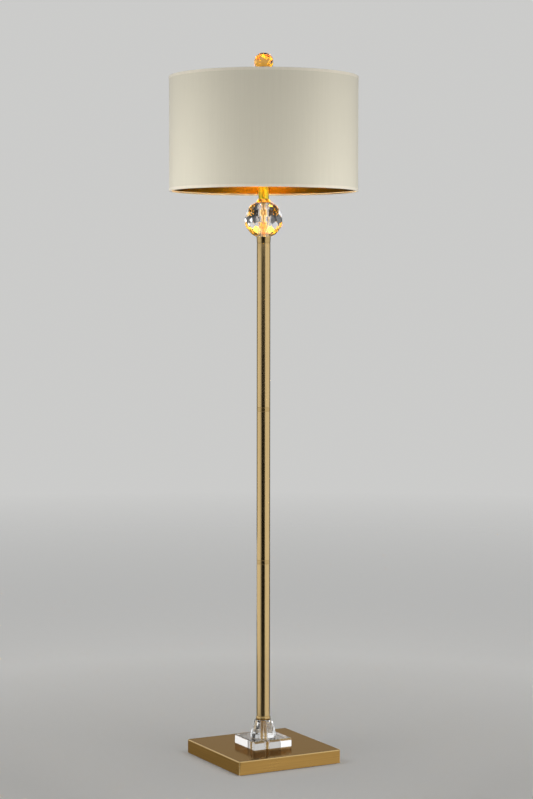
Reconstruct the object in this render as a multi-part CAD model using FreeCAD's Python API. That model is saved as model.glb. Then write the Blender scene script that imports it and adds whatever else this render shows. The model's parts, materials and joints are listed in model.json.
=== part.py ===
"""Column floor lamp: square base, crystal foot and ball, brass column, drum shade and finial.

Millimetres, +Z up. The origin is on the floor, under the middle of the base.
The base's sides lie along X and Y, and the cord comes in through the +Y side.
"""
import FreeCAD, Part
import math
import os

Vec = FreeCAD.Vector
ORIGIN = Vec(0, 0, 0)
UP = Vec(0, 0, 1)
FULL_TURN = 360
SAME_PLACE = 0.01         # heights and lengths closer than this are equal

# Fits, each measured on the radius or between two faces
thread_gap = 0.1          # screwed pieces, drawn as plain cylinders
fit_gap = 0.05            # pressed, brazed and glued pieces
pass_gap = 0.25           # a piece that drops over or through another
turn_gap = 0.3            # pieces that turn or slide past each other
crystal_gap = 1.0         # drilled plinth and foot round the brass pipe inside them

# Base
floor_pad_thickness = 2.0
floor_pad_inset = 5.0     # from the shell's sides
base_side = 256.0
base_height = 30.0
base_wall = 1.5
base_corner_radius = 5.5
base_edge_bevel = 1.0
bottom_plate_thickness = 2.0
wiring_room = 12.5        # height left under the ballast slab
ballast_margin = 14.0     # between the slab and the shell's inner wall
nut_pocket_room = 8.0     # round the washer, for a spanner
nut_pocket_depth = 6.0
boss_diameter = 16.0
boss_spacing = 180.0
plate_screw_diameter = 4.0
plate_screw_head_diameter = 8.0
plate_screw_length = 11.0
plate_screw_slot_width = 1.0
plate_screw_slot_depth = 0.9
gland_thread_diameter = 10.0
gland_bore_diameter = 7.4
gland_flange_diameter = 15.0
gland_flange_thickness = 2.0
gland_nut_size = 14.0     # across flats
gland_nut_thickness = 4.0
gland_tail = 1.0          # thread showing past the nut
gland_nut_room = 1.0      # between the nut and the bottom plate

# Threaded pipe and what clamps it
pipe_diameter = 10.0
pipe_bore = 7.0
pipe_tail = 1.5           # thread showing past the locknut
locknut_size = 17.0       # across flats
locknut_thickness = 5.0
washer_diameter = 28.0
washer_thickness = 1.5

# Crystal foot
plinth_side = 95.0
plinth_height = 19.0
plinth_bevel = 1.6
foot_height = 38.5
foot_sides = 8
foot_bottom_width = 53.0  # widths are across flats
foot_waist_width = 52.0
foot_shoulder_width = 44.0
foot_top_width = 35.5
foot_waist_height = 9.0   # heights are above the plinth
foot_shoulder_height = 25.5

# Column
column_diameter = 30.0
column_wall = 1.0
lower_tube_length = 343.5
middle_tube_length = 334.0
upper_tube_length = 365.0
insert_length = 20.0
joint_ring_height = 8.5
joint_ring_bevel = 0.6
collar_height = 9.0
collar_bulge = 1.6        # how far the collar swells past the column
collar_lip = 1.2          # straight band at the collar's top

# Crystal ball and its mounts
ball_diameter = 82.0
ball_facets = 12          # round the ball, in each row
ball_row_angle = 20.0
ball_sleeve_diameter = 13.6   # brass tube over the pipe inside the ball
ball_bore_gap = 1.7       # drilled ball round the sleeve inside it
cup_height = 15.5
cup_groove_depth = 0.7
cup_groove_width = 1.2
seat_rim_diameter = 31.4   # of the cup and the cap that hold the ball
seat_rim_land = 3.0       # of rim round the washer inside it
seat_margin = 1.1         # of the ball's level seat past the rim
seat_washer_thickness = 1.0
cap_height = 8.0
cap_spigot_height = 3.0
neck_diameter = 23.0
neck_wall = 1.0
neck_length = 30.0

# Harp and its saddle
saddle_thickness = 1.6
saddle_disc_diameter = 26.0
saddle_strip_width = 12.0
tongue_width = 4.0
tongue_thickness = 1.5
tongue_height = 11.0
harp_wire_diameter = 3.6
harp_width = 112.0        # between wire centres at the widest
harp_height = 231.0       # from the saddle to the shade's seat
harp_bow_rise = 45.0      # height over which a leg bows out
harp_bend_radius = 30.0
harp_top_radius = 40.0
harp_boss_diameter = 16.0
harp_boss_thickness = 3.0
stud_diameter = 6.35
stud_length = 12.0        # above the shade's hub
ferrule_height = 14.0
ferrule_wall = 0.8
ferrule_travel = 12.0
ferrule_socket_gap = 3.6   # between a ferrule and the socket

# Socket and its switch
socket_bushing_diameter = 16.0
socket_bushing_height = 8.0
socket_cone_rise = 6.0    # of the cap, from its bushing out to its rim
socket_wall = 0.8
socket_shell_height = 44.0
socket_shell_lap = 6.0    # how far the shell sits down in the cap
socket_liner_wall = 0.6
socket_body_height = 22.0
socket_body_margin = 1.35 # of the body round the screw shell
screw_shell_wall = 0.5
screw_shell_height = 21.0
contact_diameter = 8.0
contact_height = 2.0
spindle_diameter = 3.2
spindle_rise = 4.0        # above the cap's rim
spindle_seat = 4.0        # length inside the socket's body
spindle_reach = 6.0       # from the shell's outside to the knob
knob_diameter = 12.0
knob_length = 16.0
knob_socket_depth = 10.0
knob_grooves = 12
knob_groove_depth = 0.6

# Bulb
bulb_diameter = 60.0
bulb_length = 106.0       # from the contact to the top
bulb_wall = 0.8
bulb_cap_diameter = 26.0
bulb_cap_height = 22.0
bulb_cap_wall = 0.4
bulb_button_diameter = 9.0
bulb_button_height = 3.0
bulb_throat_lap = 5.0     # glass glued down inside the screw cap
bulb_insulator_height = 2.0

# Shade
shade_diameter = 420.0
shade_height = 252.0
cover_thickness = 0.9
lining_thickness = 0.3
trim_thickness = 0.5
trim_height = 6.0
ring_wire_diameter = 3.4
spider_arms = 3
spider_arm_diameter = 3.2
spider_hub_diameter = 30.0
spider_hub_thickness = 2.0
spider_drop = 3.2         # hub below the top ring

# Finial
finial_ball_diameter = 41.0
finial_seat_diameter = 14.0
finial_facets = 10
finial_row_angle = 26.0
finial_base_height = 18.5
finial_flange_diameter = 18.0
finial_waist_diameter = 11.0
finial_lip_height = 3.0
finial_pin_diameter = 6.0
finial_pin_length = 12.0

# Lead inside the lamp
lead_diameter = 4.4
lead_lay_gap = 0.2        # above the bottom plate
terminal_distance = 70.0  # from the lamp's axis
terminal_width = 22.0
terminal_length = 18.0
terminal_height = 10.0
terminal_port_diameter = 3.6
terminal_port_depth = 8.0

# Stack-up of the base
shell_bottom = floor_pad_thickness
shell_top = shell_bottom + base_height
plate_top = shell_bottom + bottom_plate_thickness
slab_top = shell_top - base_wall
slab_bottom = plate_top + wiring_room
pocket_top = slab_bottom + nut_pocket_depth
washer_bottom = pocket_top - washer_thickness
locknut_bottom = washer_bottom - locknut_thickness
pipe_bottom = locknut_bottom - pipe_tail

# Stack-up of the column
plinth_top = shell_top + plinth_height
foot_top = plinth_top + foot_height
collar_top = foot_top + collar_height
lower_tube_top = collar_top + lower_tube_length
middle_tube_bottom = lower_tube_top + joint_ring_height
middle_tube_top = middle_tube_bottom + middle_tube_length
upper_tube_bottom = middle_tube_top + joint_ring_height
upper_tube_top = upper_tube_bottom + upper_tube_length
cup_top = upper_tube_top + cup_height
ball_seat_diameter = seat_rim_diameter + 2 * seat_margin
ball_top = cup_top + math.sqrt(ball_diameter ** 2 - ball_seat_diameter ** 2)
cap_top = ball_top + cap_height
neck_top = cap_top + neck_length

# Stack-up of the head
saddle_top = neck_top + saddle_thickness
socket_floor = saddle_top + socket_bushing_height
socket_shell_bottom = socket_floor + socket_cone_rise
socket_cap_top = socket_shell_bottom + socket_shell_lap
socket_body_top = socket_shell_bottom + socket_body_height
contact_top = socket_body_top + contact_height
bulb_cap_bottom = contact_top + bulb_button_height
bulb_cap_top = bulb_cap_bottom + bulb_cap_height
bulb_top = contact_top + bulb_length
hub_bottom = saddle_top + harp_height
hub_top = hub_bottom + spider_hub_thickness
hub_middle = hub_bottom + spider_hub_thickness / 2
ring_level = hub_middle + spider_drop
shade_top = ring_level + ring_wire_diameter / 2 + fit_gap + trim_thickness
shade_bottom = shade_top - shade_height
finial_ball_bottom = hub_top + finial_base_height
finial_top = finial_ball_bottom + math.sqrt(finial_ball_diameter ** 2 - finial_seat_diameter ** 2)

# Radii that more than one piece shares
pipe_radius = pipe_diameter / 2
column_radius = column_diameter / 2
column_bore_radius = column_radius - column_wall
neck_bore_radius = neck_diameter / 2 - neck_wall
seat_washer_radius = seat_rim_diameter / 2 - seat_rim_land - pass_gap
screw_shell_bore_radius = bulb_cap_diameter / 2 + turn_gap
screw_shell_radius = screw_shell_bore_radius + screw_shell_wall
socket_body_radius = screw_shell_radius + socket_body_margin
socket_liner_radius = socket_body_radius + fit_gap + socket_liner_wall
socket_shell_radius = socket_liner_radius + fit_gap + socket_wall
socket_radius = socket_shell_radius + fit_gap + socket_wall
bulb_throat_radius = bulb_cap_diameter / 2 - bulb_cap_wall - fit_gap
cover_radius = shade_diameter / 2 - trim_thickness - fit_gap
cover_bore_radius = cover_radius - cover_thickness
lining_radius = cover_bore_radius - fit_gap
lining_bore_radius = lining_radius - lining_thickness
ring_radius = lining_bore_radius - fit_gap - ring_wire_diameter / 2
trim_inner_radius = ring_radius - ring_wire_diameter / 2 - fit_gap - trim_thickness
stud_radius = stud_diameter / 2
knob_level = socket_cap_top + spindle_rise
knob_inner_end = socket_radius + spindle_reach
spindle_inner_end = socket_body_radius - spindle_seat


def rod(radius, bottom, top, x=0, y=0):
    """An upright cylinder."""
    return Part.makeCylinder(radius, top - bottom, Vec(x, y, bottom))


def tube(radius, bore, bottom, top):
    """An upright tube on the lamp's axis."""
    return rod(radius, bottom, top).cut(rod(bore, bottom, top))


def side_rod(radius, start, end, level):
    """A cylinder along Y, through the lamp's axis, at one height."""
    return Part.makeCylinder(radius, abs(end - start), Vec(0, min(start, end), level), Vec(0, 1, 0))


def turned(*steps):
    """A solid turned about the axis from an outline of (radius, height) steps.

    A step with four numbers is an arc: a point on the way and then the end.
    """
    def place(point):
        return Vec(point[0], 0, point[1])

    edges = []
    here = steps[0]
    for step in steps[1:] + steps[:1]:
        there = step[-2:]
        if len(step) == 4:
            edges.append(Part.Arc(place(here), place(step[:2]), place(there)).toShape())
        else:
            edges.append(Part.LineSegment(place(here), place(there)).toShape())
        here = there
    return Part.Face(Part.Wire(edges)).revolve(ORIGIN, UP, FULL_TURN)


def polygon(sides, width, level):
    """A closed regular outline, width measured across flats, with flats facing X and Y."""
    radius = width / 2 / math.cos(math.pi / sides)
    corners = []
    for k in range(sides + 1):
        angle = (2 * k + 1) * math.pi / sides
        corners.append(Vec(radius * math.cos(angle), radius * math.sin(angle), level))
    return Part.makePolygon(corners)


def hexagon_nut(size, bore, thickness):
    """A hexagon nut standing on z = 0."""
    blank = Part.Face(polygon(6, size, 0)).extrude(Vec(0, 0, thickness))
    return blank.cut(rod(bore, 0, thickness))


def square_block(side, bottom, top, corner_radius):
    """A square block with rounded upright edges."""
    block = Part.makeBox(side, side, top - bottom, Vec(-side / 2, -side / 2, bottom))
    if corner_radius <= 0:
        return block
    return block.makeFillet(corner_radius, upright_edges(block))


def upright_edges(shape):
    """The straight edges that run along Z."""
    return [edge for edge in shape.Edges if edge.BoundBox.XLength + edge.BoundBox.YLength < SAME_PLACE]


def edges_at(shape, level):
    """The edges that lie flat at one height."""
    found = []
    for edge in shape.Edges:
        box = edge.BoundBox
        if abs(box.ZMin - level) < SAME_PLACE and abs(box.ZMax - level) < SAME_PLACE:
            found.append(edge)
    return found


def rounded_path(points, radii):
    """A wire of straight runs, with a tangent arc at each inner point."""
    edges = []
    here = points[0]
    for before, corner, after, radius in zip(points, points[1:], points[2:], radii):
        way_in = (corner - before).normalize()
        way_out = (after - corner).normalize()
        turn = way_in.getAngle(way_out)
        back = radius * math.tan(turn / 2)
        start = corner - way_in * back
        end = corner + way_out * back
        inward = (way_out - way_in).normalize()
        middle = corner + inward * (radius / math.cos(turn / 2) - radius)
        edges.append(Part.LineSegment(here, start).toShape())
        edges.append(Part.Arc(start, middle, end).toShape())
        here = end
    edges.append(Part.LineSegment(here, points[-1]).toShape())
    return Part.Wire(edges)


def wire_along(path, radius):
    """A round wire swept along a path that starts upright."""
    section = Part.Wire([Part.Circle(path.Vertexes[0].Point, UP, radius).toShape()])
    return Part.Solid(path.makePipeShell([section], True, False))


def faceted_ball(width, bottom, top, facets, row_angle):
    """A crystal ball ground flat in staggered rows, with level seats above and below."""
    centre = Vec(0, 0, (bottom + top) / 2)
    size = 2 * width
    ball = rod(width, bottom, top)
    rows = int(90 / row_angle)
    if math.sin(math.radians(rows * row_angle)) > (top - bottom) / width:
        rows -= 1
    for row in range(-rows, rows + 1):
        for k in range(facets):
            longitude = math.radians((k + row % 2 / 2) * FULL_TURN / facets)
            latitude = math.radians(row * row_angle)
            across = math.cos(latitude)
            normal = Vec(across * math.cos(longitude), across * math.sin(longitude), math.sin(latitude))
            waste = Part.makeBox(size, size, size, Vec(-size / 2, -size / 2, width / 2))
            waste.Placement = FreeCAD.Placement(centre, FreeCAD.Rotation(UP, normal))
            ball = ball.cut(waste)
    return ball


# Base

def floor_pad():
    side = base_side - 2 * floor_pad_inset
    return square_block(side, 0, floor_pad_thickness, base_corner_radius)


def gland_level():
    nut_corner_radius = gland_nut_size / math.sqrt(3)
    return plate_top + nut_corner_radius + gland_nut_room


def base_shell():
    inner_side = base_side - 2 * base_wall
    shell = square_block(base_side, shell_bottom, shell_top, base_corner_radius)
    shell = shell.makeChamfer(base_edge_bevel, edges_at(shell, shell_top))
    shell = shell.cut(square_block(inner_side, shell_bottom, slab_top, base_corner_radius - base_wall))
    shell = shell.cut(rod(pipe_radius + pass_gap, slab_top, shell_top))
    gland_hole = gland_thread_diameter / 2 + pass_gap
    return shell.cut(side_rod(gland_hole, base_side / 2 - base_wall, base_side / 2, gland_level()))


def boss_places():
    reach = boss_spacing / 2
    return [(x, y) for x in (-reach, reach) for y in (-reach, reach)]


def plate_screw(x, y, gap):
    """A countersunk screw from below, made larger by gap where it is a hole."""
    head = plate_screw_head_diameter / 2 + gap
    shank = plate_screw_diameter / 2 + gap
    screw = Part.makeCone(head, shank, head - shank, Vec(x, y, shell_bottom))
    return screw.fuse(rod(shank, shell_bottom, shell_bottom + plate_screw_length + gap, x, y))


def ballast():
    side = base_side - 2 * (base_wall + ballast_margin)
    slab = square_block(side, slab_bottom, slab_top, base_corner_radius)
    for x, y in boss_places():
        slab = slab.fuse(rod(boss_diameter / 2, plate_top, slab_bottom, x, y))
        slab = slab.cut(plate_screw(x, y, thread_gap))
    slab = slab.cut(rod(washer_diameter / 2 + nut_pocket_room, slab_bottom, pocket_top))
    return slab.cut(rod(pipe_radius + pass_gap, pocket_top, slab_top)).removeSplitter()


def bottom_plate():
    side = base_side - 2 * (base_wall + pass_gap)
    plate = square_block(side, shell_bottom, plate_top, base_corner_radius - base_wall - pass_gap)
    for x, y in boss_places():
        plate = plate.cut(plate_screw(x, y, thread_gap))
    return plate


def bottom_plate_screws():
    screws = []
    for x, y in boss_places():
        corner = Vec(x - plate_screw_head_diameter, y - plate_screw_slot_width / 2, shell_bottom)
        length = 2 * plate_screw_head_diameter
        slot = Part.makeBox(length, plate_screw_slot_width, plate_screw_slot_depth, corner)
        screws.append(plate_screw(x, y, 0).cut(slot))
    return Part.makeCompound(screws)


def cord_gland():
    face = base_side / 2
    flange_end = face + gland_flange_thickness
    tail_end = face - base_wall - gland_nut_thickness - gland_tail
    level = gland_level()
    gland = side_rod(gland_thread_diameter / 2, tail_end, face, level)
    gland = gland.fuse(side_rod(gland_flange_diameter / 2, face, flange_end, level))
    return gland.cut(side_rod(gland_bore_diameter / 2, tail_end, flange_end, level))


def cord_gland_nut():
    nut = hexagon_nut(gland_nut_size, gland_thread_diameter / 2 + thread_gap, gland_nut_thickness)
    nut.Placement = FreeCAD.Placement(
        Vec(0, base_side / 2 - base_wall, gland_level()),
        FreeCAD.Rotation(UP, Vec(0, -1, 0)),
    )
    return nut


def pipe(bottom, top):
    return tube(pipe_radius, pipe_bore / 2, bottom, top)


def stand_pipe():
    return pipe(pipe_bottom, collar_top + insert_length)


def stand_pipe_washer():
    return tube(washer_diameter / 2, pipe_radius + pass_gap, washer_bottom, pocket_top)


def stand_pipe_locknut():
    nut = hexagon_nut(locknut_size, pipe_radius + thread_gap, locknut_thickness)
    nut.translate(Vec(0, 0, locknut_bottom))
    return nut


# Crystal foot

def crystal_plinth():
    block = square_block(plinth_side, shell_top, plinth_top, 0)
    block = block.makeChamfer(plinth_bevel, upright_edges(block) + edges_at(block, plinth_top))
    return block.cut(rod(pipe_radius + crystal_gap, shell_top, plinth_top))


def crystal_foot():
    outlines = [
        polygon(foot_sides, foot_bottom_width, plinth_top),
        polygon(foot_sides, foot_waist_width, plinth_top + foot_waist_height),
        polygon(foot_sides, foot_shoulder_width, plinth_top + foot_shoulder_height),
        polygon(foot_sides, foot_top_width, foot_top),
    ]
    bell = Part.makeLoft(outlines, True, True)
    return bell.cut(rod(pipe_radius + crystal_gap, plinth_top, foot_top))


# Column

def lower_collar():
    bulge = column_radius + collar_bulge
    shoulder = collar_top - collar_lip
    bore = pipe_radius + pass_gap
    return turned(
        (bore, foot_top),
        (column_radius, foot_top),
        (bulge, (foot_top + shoulder) / 2, column_radius, shoulder),
        (column_radius, collar_top),
        (bore, collar_top),
    )


def column_tube(bottom, top):
    return tube(column_radius, column_bore_radius, bottom, top)


def tube_inserts(bottom, top):
    """The threaded plugs brazed into the two ends of a column tube."""
    radius = column_bore_radius - fit_gap
    bore = pipe_radius + thread_gap
    lower = tube(radius, bore, bottom, bottom + insert_length)
    upper = tube(radius, bore, top - insert_length, top)
    return Part.makeCompound([lower, upper])


def joint_ring(bottom):
    ring = tube(column_radius, pipe_radius + pass_gap, bottom, bottom + joint_ring_height)
    rims = []
    for edge in ring.Edges:
        if edge.BoundBox.XLength > column_radius and edge.BoundBox.ZLength < SAME_PLACE:
            rims.append(edge)
    return ring.makeChamfer(joint_ring_bevel, rims)


def joint_nipple(ring_bottom):
    return pipe(ring_bottom - insert_length, ring_bottom + joint_ring_height + insert_length)


# Crystal ball and its mounts

def ball_cup():
    bore = pipe_radius + pass_gap
    washer_seat = seat_washer_radius + pass_gap
    groove_radius = column_radius - cup_groove_depth
    groove_top = upper_tube_top + cup_groove_width
    return turned(
        (bore, upper_tube_top),
        (groove_radius, upper_tube_top),
        (groove_radius, groove_top),
        (column_radius, groove_top),
        (seat_rim_diameter / 2, cup_top),
        (washer_seat, cup_top),
        (washer_seat, cup_top - seat_washer_thickness),
        (bore, cup_top - seat_washer_thickness),
    )


def seat_washer(bottom):
    return tube(seat_washer_radius, pipe_radius + pass_gap, bottom, bottom + seat_washer_thickness)


def crystal_ball():
    ball = faceted_ball(ball_diameter, cup_top, ball_top, ball_facets, ball_row_angle)
    return ball.cut(rod(ball_sleeve_diameter / 2 + ball_bore_gap, cup_top, ball_top))


def ball_sleeve():
    """Stands between the two washers, so that the clamped ball isn't squeezed."""
    return tube(ball_sleeve_diameter / 2, pipe_radius + pass_gap, cup_top, ball_top)


def ball_rod():
    return pipe(upper_tube_top - insert_length, socket_floor)


def ball_cap():
    bore = pipe_radius + pass_gap
    washer_seat = seat_washer_radius + pass_gap
    spigot = neck_bore_radius - fit_gap
    return turned(
        (bore, ball_top + seat_washer_thickness),
        (washer_seat, ball_top + seat_washer_thickness),
        (washer_seat, ball_top),
        (seat_rim_diameter / 2, ball_top),
        (neck_diameter / 2, cap_top),
        (spigot, cap_top),
        (spigot, cap_top + cap_spigot_height),
        (bore, cap_top + cap_spigot_height),
    )


def neck_tube():
    return tube(neck_diameter / 2, neck_bore_radius, cap_top, neck_top)


# Harp and its saddle

def ferrule_hug():
    """The radius of the smallest circle round a harp leg and the tongue beside it."""
    depth = tongue_thickness + harp_wire_diameter
    return ((tongue_width / 2) ** 2 + depth ** 2) / (2 * depth)


def ferrule_bore():
    return ferrule_hug() + turn_gap


def ferrule_place():
    """How far a ferrule's middle is from the lamp's axis."""
    return socket_radius + ferrule_socket_gap + ferrule_bore() + ferrule_wall


def leg_place():
    """How far a harp leg's middle is from the lamp's axis."""
    return ferrule_place() - ferrule_hug() + harp_wire_diameter / 2


def harp_saddle():
    strip_reach = ferrule_place() + ferrule_bore() + ferrule_wall
    saddle = rod(saddle_disc_diameter / 2, neck_top, saddle_top)
    corner = Vec(-strip_reach, -saddle_strip_width / 2, neck_top)
    saddle = saddle.fuse(Part.makeBox(2 * strip_reach, saddle_strip_width, saddle_thickness, corner))
    tongue_face = leg_place() + harp_wire_diameter / 2
    for x in (tongue_face, -tongue_face - tongue_thickness):
        corner = Vec(x, -tongue_width / 2, saddle_top)
        saddle = saddle.fuse(Part.makeBox(tongue_thickness, tongue_width, tongue_height, corner))
    return saddle.cut(rod(pipe_radius + pass_gap, neck_top, saddle_top)).removeSplitter()


def harp():
    leg = leg_place()
    bow = harp_width / 2
    lean = math.atan2(bow - leg, harp_bow_rise)
    straight = ferrule_height + ferrule_travel + harp_wire_diameter
    knee = saddle_top + straight + harp_bend_radius * math.tan(lean / 2)
    crown = hub_bottom - harp_boss_thickness - harp_wire_diameter / 2
    right = [(leg, saddle_top), (leg, knee), (bow, knee + harp_bow_rise), (bow, crown)]
    left = [(-x, z) for x, z in reversed(right)]
    points = [Vec(x, 0, z) for x, z in right + left]
    bends = [harp_bend_radius, harp_bend_radius, harp_top_radius]
    loop = wire_along(rounded_path(points, bends + bends[::-1]), harp_wire_diameter / 2)
    loop = loop.fuse(rod(harp_boss_diameter / 2, crown, hub_bottom))
    return loop.fuse(rod(stud_radius, crown, hub_top + stud_length)).removeSplitter()


def ferrule(side):
    place = side * ferrule_place()
    bore = ferrule_bore()
    top = saddle_top + ferrule_height
    sleeve = rod(bore + ferrule_wall, saddle_top, top, place)
    return sleeve.cut(rod(bore, saddle_top, top, place))


# Socket and its switch

def socket_cap():
    bushing = socket_bushing_diameter / 2
    bore = pipe_radius + thread_gap
    inner = socket_radius - socket_wall
    return turned(
        (bore, saddle_top),
        (bushing, saddle_top),
        (bushing, socket_floor - socket_wall),
        (socket_radius, socket_shell_bottom - socket_wall),
        (socket_radius, socket_cap_top),
        (inner, socket_cap_top),
        (inner, socket_shell_bottom),
        (bushing, socket_floor),
        (bore, socket_floor),
    )


def spindle_hole():
    blind_end = spindle_inner_end - turn_gap
    return side_rod(spindle_diameter / 2 + turn_gap, -blind_end, -knob_inner_end, knob_level)


def socket_shell():
    top = socket_shell_bottom + socket_shell_height
    shell = tube(socket_shell_radius, socket_shell_radius - socket_wall, socket_shell_bottom, top)
    return shell.cut(spindle_hole())


def socket_liner():
    top = socket_shell_bottom + socket_shell_height - socket_wall
    liner = tube(socket_liner_radius, socket_liner_radius - socket_liner_wall, socket_shell_bottom, top)
    return liner.cut(spindle_hole())


def socket_body():
    return rod(socket_body_radius, socket_shell_bottom, socket_body_top).cut(spindle_hole())


def screw_shell():
    top = socket_body_top + screw_shell_height
    return tube(screw_shell_radius, screw_shell_bore_radius, socket_body_top, top)


def centre_contact():
    return rod(contact_diameter / 2, socket_body_top, contact_top)


def switch_spindle():
    outer_end = knob_inner_end + knob_socket_depth
    return side_rod(spindle_diameter / 2, -spindle_inner_end, -outer_end, knob_level)


def switch_knob():
    outer_end = knob_inner_end + knob_length
    radius = knob_diameter / 2
    knob = side_rod(radius, -knob_inner_end, -outer_end, knob_level)
    for k in range(knob_grooves):
        angle = k * 2 * math.pi / knob_grooves
        groove = side_rod(knob_groove_depth, -knob_inner_end, -outer_end, knob_level)
        groove.translate(Vec(radius * math.cos(angle), 0, radius * math.sin(angle)))
        knob = knob.cut(groove)
    socket_end = knob_inner_end + knob_socket_depth
    return knob.cut(side_rod(spindle_diameter / 2 + fit_gap, -knob_inner_end, -socket_end, knob_level))


# Bulb

def bulb_outline(inset):
    """The steps of the bulb's outer wall, or of its inner wall when inset, from the throat to the top.

    A ball at the top runs smoothly into a hollow curve that leaves the throat upright.
    """
    ball = bulb_diameter / 2
    ball_level = bulb_top - ball
    rise = ball_level - bulb_cap_top
    throat = bulb_throat_radius
    hollow = (throat ** 2 + rise ** 2 - ball ** 2) / (2 * (ball - throat))
    turn = math.atan2(rise, throat + hollow)

    def on_hollow(angle):
        reach = hollow + inset
        return (throat + hollow - reach * math.cos(angle), bulb_cap_top + reach * math.sin(angle))

    meeting = on_hollow(turn)
    equator = (ball - inset, ball_level)
    return [
        (throat - inset, bulb_cap_top - bulb_throat_lap),
        (throat - inset, bulb_cap_top),
        on_hollow(turn / 2) + meeting,
        equator + (0, bulb_top - inset),
    ]


def bulb_glass():
    outside = turned_to_axis(bulb_outline(0))
    return outside.cut(turned_to_axis(bulb_outline(bulb_wall)))


def turned_to_axis(steps):
    """A solid turned from an outline that starts away from the axis and ends on it."""
    return turned(*steps, (0, steps[0][1]))


def bulb_screw_cap():
    radius = bulb_cap_diameter / 2
    return tube(radius, radius - bulb_cap_wall, bulb_cap_bottom, bulb_cap_top)


def bulb_insulator():
    return rod(bulb_throat_radius, bulb_cap_bottom, bulb_cap_bottom + bulb_insulator_height)


def bulb_button():
    return rod(bulb_button_diameter / 2, contact_top, bulb_cap_bottom)


# Shade

def shade_wall(radius, thickness):
    """A sheet rolled into a drum, between the two folded trims."""
    end_gap = trim_thickness + fit_gap
    return tube(radius, radius - thickness, shade_bottom + end_gap, shade_top - end_gap)


def shade_ring(level):
    return Part.makeTorus(ring_radius, ring_wire_diameter / 2, Vec(0, 0, level))


def spider_arm(index, radius):
    """One arm, from inside the hub's edge to the middle of the ring's wire."""
    angle = math.radians(90) + index * 2 * math.pi / spider_arms
    out = Vec(math.cos(angle), math.sin(angle), 0)
    start = out * (spider_hub_diameter / 2 - spider_arm_diameter) + Vec(0, 0, hub_middle)
    end = out * ring_radius + Vec(0, 0, ring_level)
    return Part.makeCylinder(radius, (end - start).Length, start, end - start)


def shade_top_frame():
    frame = shade_ring(ring_level).fuse(rod(spider_hub_diameter / 2, hub_bottom, hub_top))
    for k in range(spider_arms):
        frame = frame.fuse(spider_arm(k, spider_arm_diameter / 2))
    return frame.cut(rod(stud_radius + turn_gap, hub_bottom, hub_top))


def shade_bottom_ring():
    return shade_ring(shade_bottom + trim_thickness + fit_gap + ring_wire_diameter / 2)


def shade_trim(edge, inward):
    """Tape folded over a rim and its wire: edge is the rim's height, inward is up or down."""
    outer = shade_diameter / 2
    fold = edge + inward * trim_thickness
    end = edge + inward * trim_height
    return turned(
        (trim_inner_radius, edge),
        (outer, edge),
        (outer, end),
        (outer - trim_thickness, end),
        (outer - trim_thickness, fold),
        (trim_inner_radius + trim_thickness, fold),
        (trim_inner_radius + trim_thickness, end),
        (trim_inner_radius, end),
    )


def shade_trim_top():
    trim = shade_trim(shade_top, -1)
    for k in range(spider_arms):
        trim = trim.cut(spider_arm(k, spider_arm_diameter / 2 + fit_gap))
    return trim


# Finial

def finial_base():
    hole = stud_radius + turn_gap
    hole_top = hub_top + stud_length + turn_gap
    flange = finial_flange_diameter / 2
    waist = finial_waist_diameter / 2
    flange_top = hub_top + finial_lip_height
    lip = finial_ball_bottom - finial_lip_height
    pin = finial_pin_diameter / 2
    pin_top = finial_ball_bottom + finial_pin_length
    return turned(
        (hole, hub_top),
        (flange, hub_top),
        (flange, flange_top),
        (waist, (flange_top + lip) / 2, flange, lip),
        (flange, finial_ball_bottom),
        (pin, finial_ball_bottom),
        (pin, pin_top),
        (0, pin_top),
        (0, hole_top),
        (hole, hole_top),
    )


def finial_ball():
    bottom = finial_ball_bottom
    ball = faceted_ball(finial_ball_diameter, bottom, finial_top, finial_facets, finial_row_angle)
    pin_top = bottom + finial_pin_length + fit_gap
    return ball.cut(rod(finial_pin_diameter / 2 + fit_gap, bottom, pin_top))


# Lead inside the lamp

def lead_level():
    return plate_top + lead_lay_gap + lead_diameter / 2


def lead():
    level = lead_level()
    route = [Vec(0, 0, socket_shell_bottom), Vec(0, 0, level), Vec(0, terminal_distance, level)]
    return wire_along(rounded_path(route, [pipe_bottom - level]), lead_diameter / 2)


def terminal_block():
    corner = Vec(-terminal_width / 2, terminal_distance, plate_top)
    block = Part.makeBox(terminal_width, terminal_length, terminal_height, corner)
    back = terminal_distance + terminal_length
    for x in (-terminal_width / 4, terminal_width / 4):
        port = side_rod(terminal_port_diameter / 2, back - terminal_port_depth, back, lead_level())
        port.translate(Vec(x, 0, 0))
        block = block.cut(port)
    return block


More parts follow.
